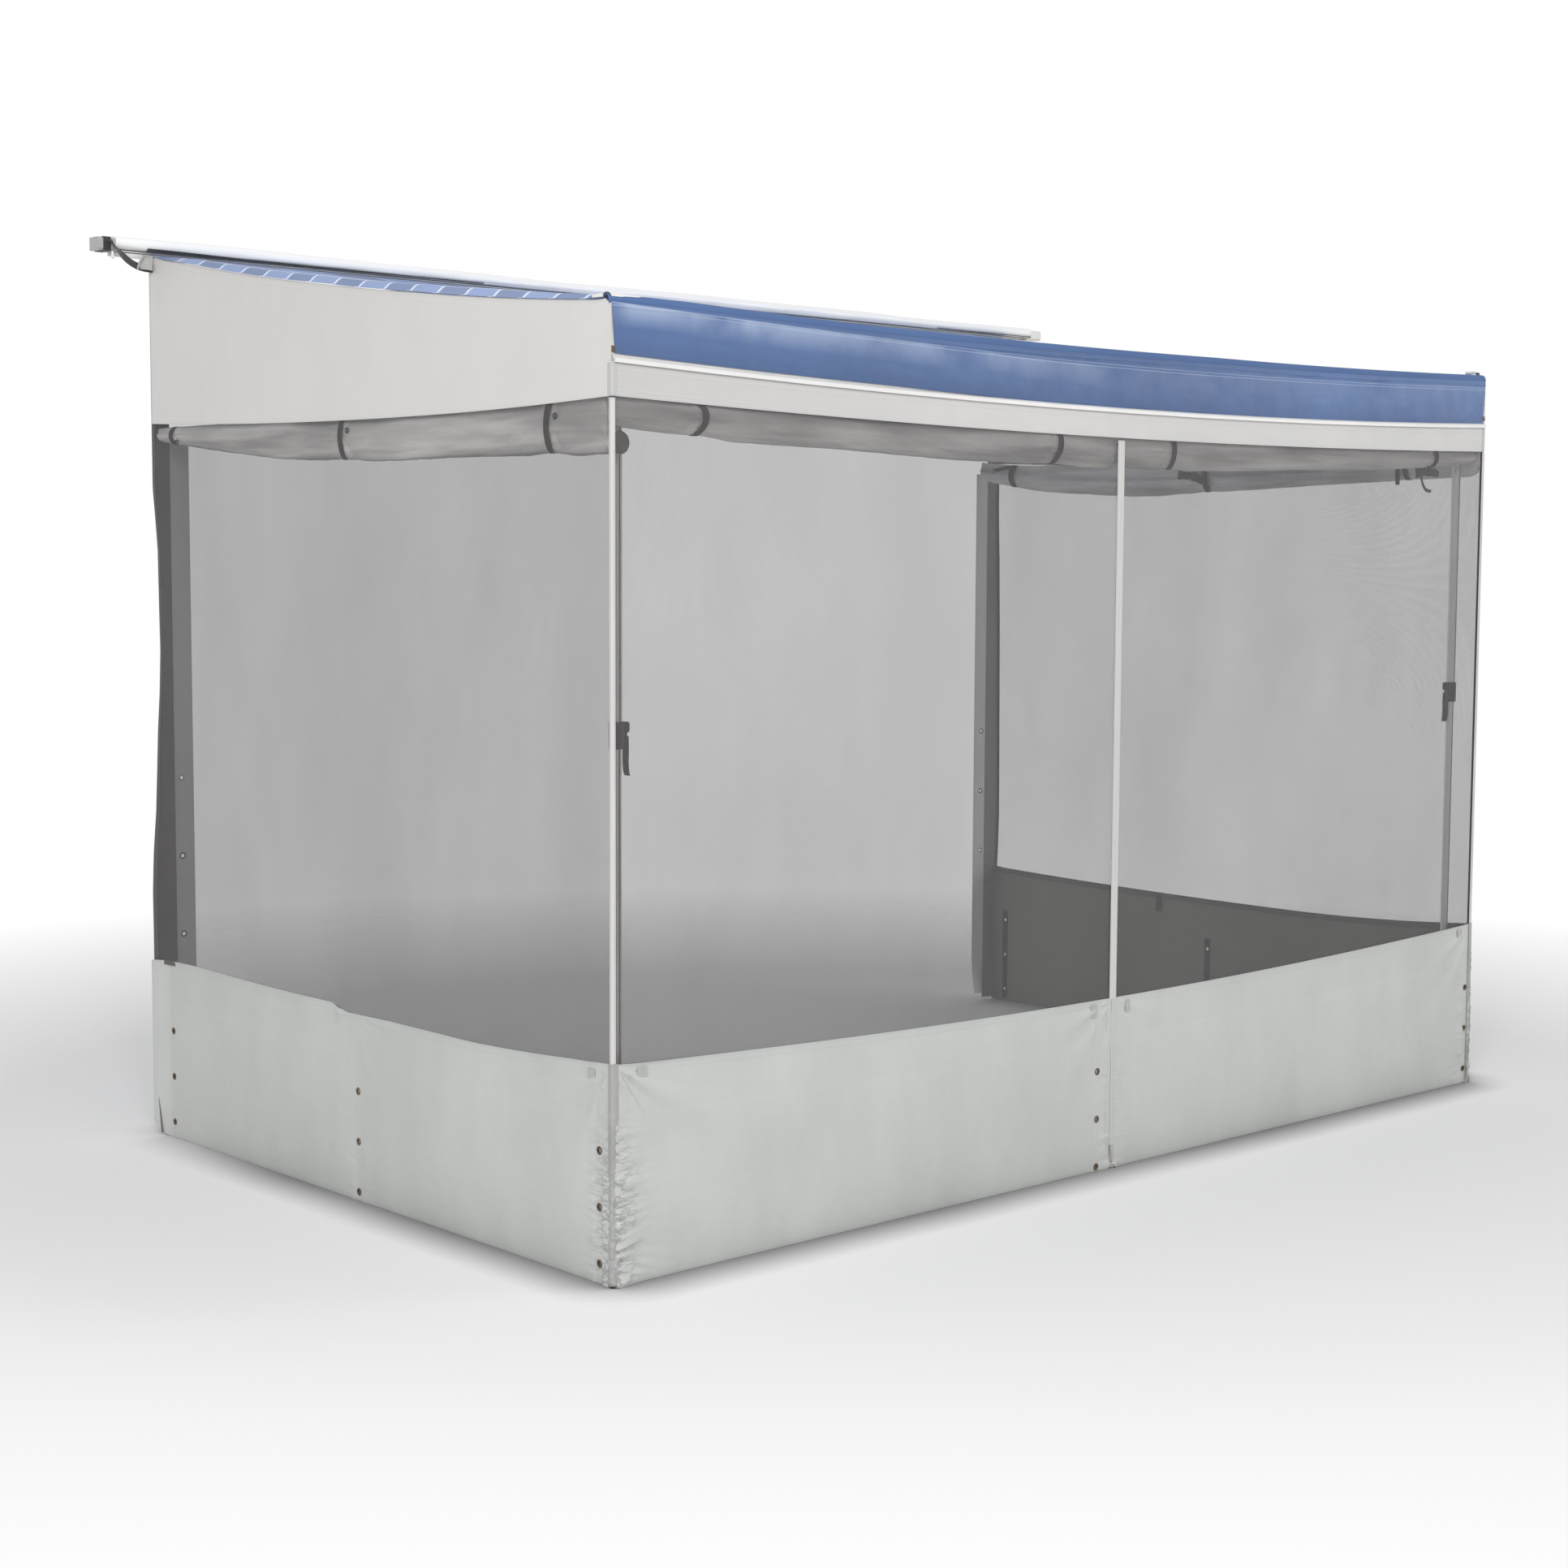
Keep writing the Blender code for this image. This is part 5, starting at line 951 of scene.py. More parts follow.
def valance_point(t, v):
    """A point of the drop, from its left end to its right and from its foot up; it bellies and creases."""
    foot, top = RAIL_LIP_TOP + 0.0046, WRAP_FOOT + 0.004
    x = t * (HALF - 0.010 * (1.0 - v))
    body = sin(pi * v) * (1.0 - t ** 8)
    corner = x + HALF
    soft = 0.008 * body * (1.0 + 0.25 * wander(x * 2.0, v * 2.0))
    soft += 0.0045 * bell(corner - 0.16, 0.14) * bell(v - 0.72, 0.22)
    soft += 0.0022 * abs(wander(x * 5.0, v * 3.5, 3.0)) * body
    crease = bell(v - 0.885 - 0.03 * wander(x * 1.5, 0.0), 0.018)
    soft -= 0.0040 * crease * (1.0 - t ** 8) * (0.6 + 0.4 * wander(x * 1.1, 7.0))
    soft += 0.0025 * bell(v - 0.92, 0.05)
    for end in (corner, HALF - x):
        soft += 0.0022 * abs(wander(end * 8.0, v * 16.0, 5.0)) * exp(-end / 0.05) * min(end / 0.006, 1.0)
    bend = (HALF - x) * 0.72 - (1.0 - v) * 0.125
    soft += 0.0050 * bell(bend + 0.030, 0.012) * sin(pi * min(v * 1.2, 1.0)) * (t > 0.9)
    rounded = 0.006 * max((t - 0.990) / 0.010, 0.0) ** 2 * max((v - 0.8) / 0.2, 0.0)
    z = foot + (top - foot + crest_lift(x)) * v - beam_dip(x) - rounded
    return x, -0.0001 - max(soft, 0.0), z + profile(x, VALANCE_RISE) * (1.0 - v)


def build_valance():
    columns = [[valance_point(t, v) for v in spread(0.0, 1.0, 56)] for t in spread(-1.0, 1.0, 220)]
    made = cloth("valance_cloth", columns, (0, 1, 0), 0.0014, "valance")
    declare("front_valance")


def build_rear():
    back = DEPTH - 0.0037
    for word, side in SIDES:
        edge = side * (HALF + 0.004)
        inner = edge - side * 0.057
        start = inner - side * 0.0003

        def seal_point(z, w, side=side, edge=edge, inner=inner):
            sway = 0.0030 * wander(z * 3.0, side) + 0.0015 * wander(z * 11.0, side * 2.0)
            trim = 0.002 + seal_trim(side, z) + 0.001 * wander(z * 2.0, side * 4.0)
            curl = 0.028 * max((0.28 - z) / 0.27, 0.0) ** 1.5
            return (edge + (inner - edge) * w - side * trim * (1 - w),
                    back - abs(sway) * sin(pi * w) - curl * (1.0 - w), z)

        def flap_point(z, w, side=side, start=start):
            bend = 0.0022 * abs(wander(z * 2.5, side * 3.0))
            curl = 0.018 * max((0.20 - z) / 0.17, 0.0) ** 2
            return start - side * (0.061 * w - curl * w), back - (bend + curl) * sin(pi * w), z
        columns = [[seal_point(z, w) for w in spread(0.0, 1.0, 6)] for z in spread(0.010, 2.545, 120)]
        look = "seal" if side < 0 else "far_seal"
        made = cloth("rear_seal_" + word, columns, (0, 1, 0), 0.0024, look)
        declare("wall_seal_" + word)
        columns = [[flap_point(z, w) for w in spread(0.0, 1.0, 8)] for z in spread(0.030, 2.040, 100)]
        made = cloth("rear_flap_" + word, columns, (0, 1, 0), 0.0014, "flap")
        centres = [(start - side * 0.022, back, z) for z in FLAP_HEIGHTS]
        punch(made, centres, (0, -1, 0))
        rings = grommets("flap_grommets_" + word, centres, (0, -1, 0), 0.0016)
        declare("wall_flap_" + word)


# Rolled curtains

def roll_section(s, straps, ends, foot, swirl):
    """Half depth, half height, centre height and tightness of a flattened roll at s."""
    tight = bell(max(min(abs(s - strap) for strap in straps) - 0.010, 0.0), 0.05)
    plump = 0.84 + 0.16 * sqrt(clamp(min(s - ends[0], ends[1] - s) / 0.03))
    half_height = (ROLL_TOP - foot(s)) / 2 * plump * (1.0 - 0.04 * tight)
    half_height += 0.0025 * wander(s * 2.4, swirl) * (1.0 - tight)
    return 0.0140 * plump * (1.0 - 0.05 * tight), half_height, ROLL_TOP - half_height - 0.0005, tight


def rounded_cos(angle, power):
    return copysign(abs(cos(angle)) ** power, cos(angle))


def roll_point(s, angle, section, swirl, straps):
    """A point of the roll's skin: flat cloth above the wound part, creases and puckers beside the straps."""
    depth, half_height, centre, tight = section
    outer = cos(angle) < 0.0
    face = 1.0 if outer else -1.0
    v = sin(angle)
    nearest = min(abs(s - strap) for strap in straps)
    seam = 0.02 + 0.16 * wander(s * 1.4, swirl) - 0.22 * bell(nearest, 0.16) * wander(s * 9.0, 2.0)
    layer = 1.0 - (0.46 if outer else 0.38) * clamp((v - seam + 0.07) / 0.14) * (1.0 - 0.75 * tight)
    fold = (1.0 - abs(wander(s * 1.2, v * 3.0, swirl + face))) ** 8
    slant = (1.0 - abs(wander(s * 7.0 + v * 1.6, v * 1.1, swirl - face))) ** 7
    reach = bell(max(nearest - 0.010, 0.0), 0.11, 1.3)
    fan = cos(9.0 * atan2(v, nearest / 0.05 + 0.05) + swirl) * reach
    pucker = abs(wander(v * 6.5, swirl + face, nearest * 6.0)) * reach
    drop = 0.26 * fold + 0.22 * slant + 0.24 * max(fan, -0.3) + 0.42 * pucker
    drop += 0.09 * abs(wander(s * 16.0, v * 5.0, swirl))
    across = depth * rounded_cos(angle, 0.75) * (max(layer - drop, 0.30) + 0.02)
    return across, centre + half_height * v * (1.0 - 0.12 * drop * (1.0 - tight))


def corner_lobe(s, angle, across, z):
    """Beside the front corner only the left roll's round lower part reaches the front."""
    ease = clamp((0.038 - s) / 0.007)
    wound = 1.0 - 0.05 * abs(wander(cos(angle) * 2.0, sin(angle) * 2.0, s * 30.0))
    across += ease * (0.0135 + 0.0275 * wound * cos(angle) - across)
    return across, z + ease * (1.9590 + 0.0270 * wound * sin(angle) - z)


def corner_layer(x, angle, across):
    """The front roll's inner layer shows where its outer one ends in a curve at the corner."""
    reach = 0.047 * sqrt(max(1.0 - (0.95 * sin(angle)) ** 2, 0.0))
    return across * 0.74 if x < -1.7900 + reach else across


def left_foot(y):
    return 1.940 + 0.092 * max((y - 0.7) / 1.41, 0.0) ** 2 - 0.008 * max((0.4 - y) / 0.4, 0.0)


def right_foot(y):
    return 1.945 + 0.054 * max((y - 1.3) / 0.8, 0.0) ** 2 + 0.038 * max((1.3 - y) / 1.3, 0.0)


def front_foot(x):
    return 1.954 + 0.040 * (abs(x) / HALF) ** 2.5 + profile(x, RIGHT_RISE)


def roll_place(side, s, across, z):
    """A room point on a roll; the right roll's rear end bends in and is raised."""
    if not side:
        return s, ROLL_MIDDLE + across, z
    bend = 0.084 * max((s - 1.93) / 0.188, 0.0) ** 1.6 if side > 0 else 0.0
    raised = 0.014 * max((s - 2.0) / 0.118, 0.0) if side > 0 else 0.0
    return side * (HALF - ROLL_MIDDLE - across - bend), s, z + raised


def roll_end(bm, ring, way, side):
    """Close a roll's end with rings that step in and out like the wound layers."""
    centre = sum((v.co for v in ring), Vector()) / len(ring)
    for turn, scale in enumerate((0.86, 0.72, 0.56, 0.40, 0.22)):
        shift = 0.004 * way * (0.2 if turn % 2 else 1.0)
        move = Vector((0, shift, 0)) if side else Vector((shift, 0, 0))
        inner = [bm.verts.new(centre + (v.co - centre) * scale + move) for v in ring]
        bridge(bm, ring if turn == 0 else previous, inner)
        previous = inner
    bm.faces.new(previous)


def measure_roll(made, side):
    """UVs in metres: along the roll and up."""
    mesh = made.data
    index = np.empty(len(mesh.loops), int)
    mesh.loops.foreach_get("vertex_index", index)
    spots = np.array([v.co for v in mesh.vertices])
    pairs = spots[index][:, (1, 2) if side else (0, 2)]
    mesh.uv_layers.new(name="UVMap").data.foreach_set("uv", pairs.reshape(-1))
    mesh.uv_layers.new(name="edge").data.foreach_set("uv", np.full(len(index) * 2, 1.0))


def roll_strap(name, side, s, section, bow):
    """A webbing loop round the roll that bows along it."""
    depth, half_height, centre, _ = section

    def skin(w, angle, lift):
        move = w * 0.020 + bow * (cos(angle) ** 2 - 0.5)
        across = (depth + lift) * rounded_cos(angle, 0.75)
        return Vector(roll_place(side, s + move, across, centre + (half_height + lift) * sin(angle)))
    loops = []
    for angle in (2 * pi * i / 48 for i in range(48)):
        pairs = [(skin(w, angle, 0.0010), skin(w, angle, -0.0001)) for w in (-0.5, -0.45, 0.45, 0.5)]
        loops.append([(outer, (inner - outer) / 0.0011) for outer, inner in pairs])
    cloth(name, loops, None, 0.0011, "webbing", loop=True)


def inner_buckle(name, spot, side):
    """The closed buckle on the roll's inner face, upright along the strap: body, arms and slotted bar."""
    at = facing(spot, inward(side))
    local = at.to_3x3().inverted() @ Vector((0, 0, 1))
    at = at @ Matrix.Rotation(atan2(local.y, local.x), 4, "Z")
    shapes = [rounded_box((0.030, 0.026, 0.0055), 0.0016, at),
              rounded_box((0.010, 0.030, 0.0040), 0.0014, at @ shifted(-0.012, 0.0, 0.0)),
              rounded_box((0.012, 0.022, 0.0045), 0.0014, at @ shifted(0.018, 0.0, 0.0))]
    solid(joined(shapes), name, "plastic")


def snap_rings(word, side, spots):
    """The small rings sewn beside the straps."""
    outline = [(0.0040, -0.001), (0.0040, 0.0012), (0.0076, 0.0012), (0.0076, -0.001)]
    rings = [moved(turned(outline), facing(spot, outward(side))) for spot in spots]
    solid(joined(rings), "curtain_snaps_" + word, "plastic")


def build_rolls():
    plans = (
        ("left", -1.0, *SIDE_ROLL, left_foot, LEFT_STRAPS, 0.012),
        ("right", 1.0, *SIDE_ROLL, right_foot, RIGHT_STRAPS, 0.010),
        ("front_left", 0, -1.7900, CENTRE_ZIP_X - 0.012, front_foot, (-1.5253, -0.2710), 0.030),
        ("front_right", 0, CENTRE_ZIP_X + 0.012, 1.7600, front_foot, (0.2153, 1.5253), 0.016))
    for number, (word, side, low, high, foot, straps, bow) in enumerate(plans):
        swirl = 3.0 * number

        def section_at(s):
            return roll_section(s, straps, (low, high), foot, swirl)

        def point(station, angle):
            s, section = station
            across, z = roll_point(s, angle, section, swirl, straps)
            if word == "left":
                across, z = corner_lobe(s, angle, across, z)
            elif word == "front_left":
                across = corner_layer(s, angle, across)
            return roll_place(side, s, across, z)
        stations = [(s, section_at(s)) for s in graded(low, high, 0.004, 0.011, 0.12, straps + (low, high))]
        skin = tube(stations, 64, point, lambda bm, ring, way: roll_end(bm, ring, way, side))
        made = solid(skin, "rolled_curtain_" + word, "curtain", smooth=55.0)
        if word == "left":
            # painted shade on the roll's end faces by the front corner
            made.data.materials.append(LOOK["curtain_end_shade"])
            for polygon in made.data.polygons:
                polygon.material_index = int(polygon.center.y < 0.0110 + SHIFT and abs(polygon.normal.y) > 0.3)
        measure_roll(made, side)
        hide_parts("roll_" + word)
        for index, strap in enumerate(straps):
            section = section_at(strap)
            roll_strap(f"curtain_strap_{word}_{index + 1}", side, strap, section, bow)
            if side <= 0 and (word, index) != ("front_right", 1):
                spot = roll_place(side, strap, section[0] + 0.0042, section[2])
                inner_buckle(f"curtain_buckle_{word}_{index + 1}", spot, side)
        if side:
            snap_rings(word, side, [roll_place(side, strap - 0.028, -section[0] + 0.0006, ROLL_TOP - 0.045)
                                    for strap in straps])
    loose_straps()


def curve_through(points):
    """Ten steps from each point to the next, along a smooth curve."""
    points = [Vector(p) for p in points]
    ends = [points[0] * 2 - points[1]] + points + [points[-1] * 2 - points[-2]]
    made = []
    for a, b, c, d in zip(ends, ends[1:], ends[2:], ends[3:]):
        for t in (k / 10 for k in range(10)):
            bend = a * 2 - b * 5 + c * 4 - d
            made.append((b * 2 + (c - a) * t + bend * t * t + (b * 3 - a - c * 3 + d) * t ** 3) / 2)
    return made + [points[-1]]


def ribbon(name, points, out, width=0.016):
    """A loose length of webbing along a path, its face towards out."""
    path = curve_through(points)
    out = Vector(out)
    columns = []
    for before, point, after in zip(path[:1] + path, path, path[1:] + path[-1:]):
        across = (after - before).normalized().cross(out).normalized()
        columns.append([point + across * w for w in (-width / 2, -width / 5, width / 5, width / 2)])
    cloth(name, columns, tuple(-out), 0.0011, "webbing")


def slack_buckle(name, first, last, out, lift):
    """A long open buckle that lies slack between two points, its two halves a little askew."""
    first, last, out = Vector(first), Vector(last), Vector(out)
    run = (last - first).normalized()
    turn = Matrix((run, out.cross(run), out)).transposed().to_4x4()
    shapes = []
    for share, tilt in ((0.27, 0.10), (0.76, -0.16)):
        at = turn @ Matrix.Rotation(tilt, 4, "Z")
        at.translation = first.lerp(last, share) + Vector((0, SHIFT, 0)) + out * lift
        shapes += [rounded_box((0.050, 0.026, 0.0070), 0.0020, at),
                   rounded_box((0.014, 0.032, 0.0050), 0.0016, at @ shifted(-0.020, 0.0, 0.0)),
                   rounded_box((0.020, 0.020, 0.0055), 0.0016, at @ shifted(0.026, 0.0, 0.0))]
    solid(joined(shapes), name, "plastic")


def loose_straps():
    """Undone strap ends and buckles on the right and front right rolls."""
    inner = HALF - 2 * ROLL_MIDDLE - 0.0030
    bent = inner - 0.022
    aside, ahead = (-1, 0, 0), (0, -1, 0)
    slack_buckle("loose_buckle_right", (inner, 1.226, 2.022), (inner, 1.100, 1.996), aside, 0.002)
    ribbon("loose_strap_right_1",
           [(inner - 0.004, 1.104, 2.026), (inner - 0.005, 1.098, 1.990), (inner - 0.004, 1.082, 1.962)],
           aside, 0.018)
    ribbon("loose_strap_right_2",
           [(inner, 0.301, 2.014), (inner - 0.001, 0.300, 1.990), (inner, 0.299, 1.962)], aside)
    ribbon("loose_strap_right_3",
           [(bent - 0.030, 2.090, 2.046), (bent - 0.010, 2.050, 2.060), (bent + 0.012, 2.000, 2.068)],
           (-0.94, -0.34, 0.0), 0.013)
    slack_buckle("loose_buckle_front", (1.424, 0.010, 1.986), (1.548, 0.010, 1.990), ahead, 0.0)
    ribbon("loose_strap_front",
           [(1.452, 0.006, 1.988), (1.458, 0.005, 1.958), (1.480, 0.006, 1.934), (1.512, 0.007, 1.929)],
           ahead, 0.010)


# Zips

def tape(name, outline, low, high, look, steps=120, wrinkle=lambda t, z: 0.0):
    """A folded tape along an outline of (x, y, outward x, outward y), that runs up from low to high."""
    columns = []
    for z in spread(low, high, steps):
        column = []
        for index, (x, y, nx, ny) in enumerate(outline):
            push = wrinkle(index / (len(outline) - 1), z)
            column.append(((x + nx * push, y + ny * push, z), (-nx, -ny, 0.0)))
        columns.append(column)
    return cloth(name, columns, None, 0.0009, look)


def corner_path(side, layer, leg, front_leg):
    """Points round a front corner with outward directions."""
    radius = 0.004
    out = side * (HALF + layer)
    path = [(out, leg, side, 0.0), (out, leg / 2, side, 0.0)]
    for a in (radians(90.0 * i / 6) for i in range(7)):
        path.append((side * (HALF + layer - radius + radius * cos(a)), -layer + radius - radius * sin(a),
                     side * cos(a), -sin(a)))
    return path + [(side * (HALF - reach), -layer, 0.0, -1.0) for reach in (front_leg / 2, front_leg)]


def front_path(x, layer, offsets):
    """Points across the front at offsets from x, facing forward."""
    return [(x + w, -layer, 0.0, -1.0) for w in offsets]


def coil(name, x, out, low, high):
    """A zip's interlocked coil: a narrow ribbed ridge on the front, half round."""
    steps = int((high - low) / 0.004)

    def point(station, angle):
        z, swell = station
        half_turn = angle * 2 / 3
        return x + 0.0028 * swell * cos(half_turn), -out - 0.0012 * swell * sin(half_turn), z
    stations = [(z, 1.0 if i % 2 else 0.75) for i, z in enumerate(spread(low, high, steps))]
    return solid(tube(stations, 4, point), name, "teeth", smooth=70.0)


def build_zips():
    for word, side in SIDES:
        top = front_skirt_top(HALF)
        front_leg = 0.007 if side < 0 else 0.0115
        made = tape("corner_zip_tape_" + word, corner_path(side, TAPE_LAYER, 0.006, front_leg), top - 0.012,
                    2.059, "tape")
        teeth = coil("corner_zip_coil_" + word, side * (HALF - 0.0035), TAPE_LAYER, top + 0.004, 2.055)

        def rumple(t, z, side=side):
            low = clamp((0.50 - z) / 0.25, 0.15)
            heap = 0.018 * bell(z, 0.040) * (1.0 if side < 0 else 0.5)
            heap *= 0.35 + 1.1 * abs(wander(t * 7.0, z * 150.0, 5.0))
            fold = 0.0075 * abs(wander(t * 2.0, z * 46.0, 11.0 + side))
            fold += 0.0045 * abs(wander(t * 5.0, z * 90.0, side))
            heap *= 0.4 + 0.6 * abs(wander(t * 3.0, z * 60.0, 2.0))
            return (fold * low + heap) * (0.4 + 0.6 * sin(pi * t))
        path = corner_path(side, TAPE_LAYER + 0.0012, 0.010, 0.013)
        cover = tape("zip_placket_" + word, path, 0.004, top + 0.002, "placket", 170, rumple)
        declare(None)
        declare("corner_zip_" + word)
    build_centre_zip()


def build_centre_zip():
    """The zip up the front's middle, with a welt and a rumpled flap below it and a white tail."""
    x, top = CENTRE_ZIP_X, front_skirt_top(CENTRE_ZIP_X)
    offsets = (-0.014, -0.010, -0.005, 0.0, 0.005, 0.010, 0.014)
    made = tape("centre_zip_tape", front_path(x, TAPE_LAYER, offsets), top - 0.004, CENTRE_ZIP_TOP, "tape")
    teeth = coil("centre_zip_coil", x, TAPE_LAYER, top, CENTRE_ZIP_TOP - 0.004)
    cord = [(x + w, -TAPE_LAYER - 0.0012 * (1 - (w / 0.004) ** 2), 0.0, -1.0)
            for w in (-0.0035, -0.0015, 0.0015, 0.0035)]
    welt = tape("centre_zip_welt", cord, 0.006, top, "tape",
                wrinkle=lambda t, z: 0.0006 * abs(wander(z * 40.0, t)))

    def rumple(t, z):
        low = clamp((0.46 - z) / 0.2, 0.1)
        return (0.0022 * abs(wander(t * 3.0, z * 60.0, 21.0)) * low + 0.0004) * sin(pi * t)
    flap = front_path(x - 0.0045, TAPE_LAYER - 0.0006, (0.0, -0.004, -0.009, -0.014, -0.020))
    cover = tape("centre_placket", flap, 0.004, top, "skirt", 170, rumple)

    def tail_point(t, a):
        return (x + 0.002 + 0.020 * t, -TAPE_LAYER - 0.002 - 0.006 * sin(3.0 * t) + 0.0018 * cos(a),
                0.012 - 0.008 * t + 0.004 * sin(6.0 * t) + 0.0018 * sin(a))
    tail = solid(tube(spread(0.0, 1.0, 14), 10, tail_point), "zip_tail", "white_cord")
    declare("centre_zip")


def build_patches():
    """Sewn reinforcement patches under the skirts' top edge, and a tab inside the right wall."""
    spots = ((-HALF + 0.086, 0.030, 0.022), (1.700 - HALF, 0.026, 0.034), (1.845 - HALF, 0.020, 0.034),
             (3.524 - HALF, 0.030, 0.026))
    for number, (x, width, height) in enumerate(spots):
        z = front_skirt_top(x) - height - 0.012
        panel(f"patch_front_{number + 1}", 0, spread(x - width / 2, x + width / 2, 4), lambda s: z,
              lambda s: z + height, 4, OUTER + 0.0030, "patch", thickness=0.0010)
    flat_strip("patch_left_1", -1.0, 0.075, 0.484, OUTER + 0.0032, 0.028, 0.022, "patch", 0.0010)
    flat_strip("wall_tab_right", 1.0, 1.30, 0.430, -0.0040, 0.022, 0.060, "webbing", 0.0014)


# Storage bag

def bag_point(x, angle, grow):
    """A point of the bag's slack skin; a grown skin keeps clear of the folds."""
    puff = 0.0018 * sin(3.1 * x) + 0.0012 * sin(7.3 * x + 1.0)
    across, rise = rounded_cos(angle, 0.85), copysign(abs(sin(angle)) ** 0.85, sin(angle))
    if grow == 0.0:
        grow -= 0.0016 + 0.0016 * wander(x * 5.0, rise * 1.5, across)
        grow -= 0.0010 * abs(wander(x * 14.0, rise * 3.0))
    return x, 2.1055 + (0.025 + grow) * across, 2.58815 + puff / 2 + (0.0185 + puff / 2 + grow) * rise


def build_bag():
    skin = tube(spread(-BAG_END, BAG_END, 170), 36, lambda x, angle: bag_point(x, angle, 0.0))
    made = solid(skin, "bag_cloth", "bag", smooth=60.0)
    measure_roll(made, 0)
    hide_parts("storage_bag")
    columns = []
    for x in spread(-HALF - 0.030, BAG_END, 160):
        slim = 11.0 * clamp((x + 1.72) / 0.20)
        wide = (36.0 - 1.6 * slim) * profile(x, LANE_WIDTH)
        column = []
        for i in range(6):
            angle = radians(212.0 + slim + wide * i / 5)
            grow = 0.0022 + 0.0004 * wander(x * 9.0, i * 0.4)
            column.append((bag_point(x, angle, grow), (0.0, -cos(angle), -sin(angle))))
        columns.append(column)
    lane = cloth("bag_zip_tape", columns, None, 0.0012, "dark_tape")
    lane.data.materials.append(LOOK["bag"])
    for polygon in lane.data.polygons:
        polygon.material_index = int(-0.66 < polygon.center.x < 1.40)
    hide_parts("bag_zip")
    build_bag_strap()
    build_corner_gusset()


def build_bag_strap():
    """The strap loops round the left housing and twists once on its way to the gable."""
    housing_x = -1.9525
    start = Vector((housing_x, 0.0, 2.587))
    finish = Vector((-(HALF + OUTER + 0.0006), 0.0, CANOPY_REAR_Z - 0.039))

    def spot(t):
        t = clamp(t)
        point = start.lerp(finish, t)
        return point + Vector((0.0, 2.066 + 0.050 * t, -0.022 * sin(pi * t)))
    columns = []
    for t in spread(0.0, 1.0, 40):
        run = spot(t + 0.01) - spot(t - 0.01)
        run.y = 0.050 * (clamp(t + 0.01) - clamp(t - 0.01))
        run.normalize()
        up = Vector((-run.z, 0.0, run.x))
        lean = 1.15 * sin(pi * min(t * 1.25, 0.5))
        width = Vector((0.0, cos(lean), 0.0)) + up * sin(lean)
        normal = up * cos(lean) - Vector((0.0, sin(lean), 0.0))
        columns.append([(spot(t) + width * w + normal * 0.0018, -normal)
                        for w in (-0.0125, -0.006, 0.0, 0.006, 0.0125)])
    strap = cloth("bag_strap", columns, None, 0.0016, "webbing")
    loops = []
    low, high, front, back = 2.5600, 2.5994, 2.0805, 2.1336
    path = [(front, low), (back, low), (back, high), (front, high), (front, low)]
    for (y0, z0), (y1, z1) in zip(path, path[1:]):
        for k in (i / 10 for i in range(10)):
            y, z = y0 + (y1 - y0) * k, z0 + (z1 - z0) * k
            out = Vector((0, y - (front + back) / 2, (z - (low + high) / 2) * 1.3)).normalized()
            loops.append([((housing_x + w, y, z), -out) for w in (-0.0115, -0.004, 0.004, 0.0115)])
    band = cloth("housing_band", loops, None, 0.0011, "webbing", loop=True)
    declare("bag_strap_left")
    tie = turned([(0.0, 0.0), (0.0035, 0.001), (0.0045, 0.010), (0.0030, 0.021), (0.0, 0.022)], 14)
    moved(tie, at_room(-1.938, 2.0775, 2.5380))
    bmesh.ops.remove_doubles(tie, verts=tie.verts, dist=1e-6)
    solid(tie, "housing_tie", "white_cord")


def build_corner_gusset():
    """The small pale fold, edged with dark piping, beside the left gable's rear top corner."""
    def point(t, v):
        reach = 0.054 * sin(pi * (0.12 + 0.88 * t) * 0.5) * (1.0 - 0.35 * v * v)
        return Vector((-(HALF + OUTER + 0.0008) - reach, 2.092 + 0.006 * sin(3.0 * t) + 0.004 * v,
                       2.519 + 0.038 * v - 0.012 * (t - 0.4) ** 2))
    columns = [[point(t, v) for v in spread(0.0, 1.0, 8)] for t in spread(0.0, 1.0, 16)]
    gusset = cloth("corner_gusset_left", columns, (0.0, 1.0, 0.0), 0.0012, "patch")
    declare(None)
    ridge = [spot + Vector((-0.0012, -0.0004, 0.0)) for spot in columns[-1]]
    ridge += [column[-1] + Vector((0.0, -0.0004, 0.0012)) for column in columns[-2::-1]]
    stations = []
    for before, spot, after in zip(ridge[:1] + ridge, ridge, ridge[1:] + ridge[-1:]):
        stations.append((spot, (after - before).normalized().cross(Vector((0, 1, 0))).normalized()))

    def piping_point(station, angle):
        spot, flat = station
        return spot + flat * (0.0030 * cos(angle)) + Vector((0, 0.0030 * sin(angle), 0))
    solid(tube(stations, 10, piping_point), "gusset_piping", "grey_plastic")


def build_fittings():
    """The small clip on the canopy's front corner and the hook behind the drop, at each side."""
    for word, side in SIDES:
        x = side * (HALF - 0.004)
        clip = at_room(x, 0.052, canopy_z(side * HALF, 0.052) + 0.0075)
        shapes = [rounded_box((0.016, 0.034, 0.009), 0.0025, clip),
                  rounded_box((0.008, 0.010, 0.007), 0.002, clip @ shifted(0.0, -0.020, -0.001))]
        solid(joined(shapes), "canopy_clip_" + word, "paint")
        spot = at_room(x, 0.026, canopy_z(side * HALF, 0.026) + 0.0040)
        pad = rounded_box((0.012, 0.008, 0.009), 0.002, spot)
        solid(pad, "canopy_clip_pad_" + word, "plastic")
        hook = rounded_box((0.010, 0.004, 0.014), 0.0012, at_room(x, -0.0010, RAIL_LIP_TOP + 0.018))
        solid(hook, "return_hook_" + word, "dull_brass")


# Looks for the frame's own nodes

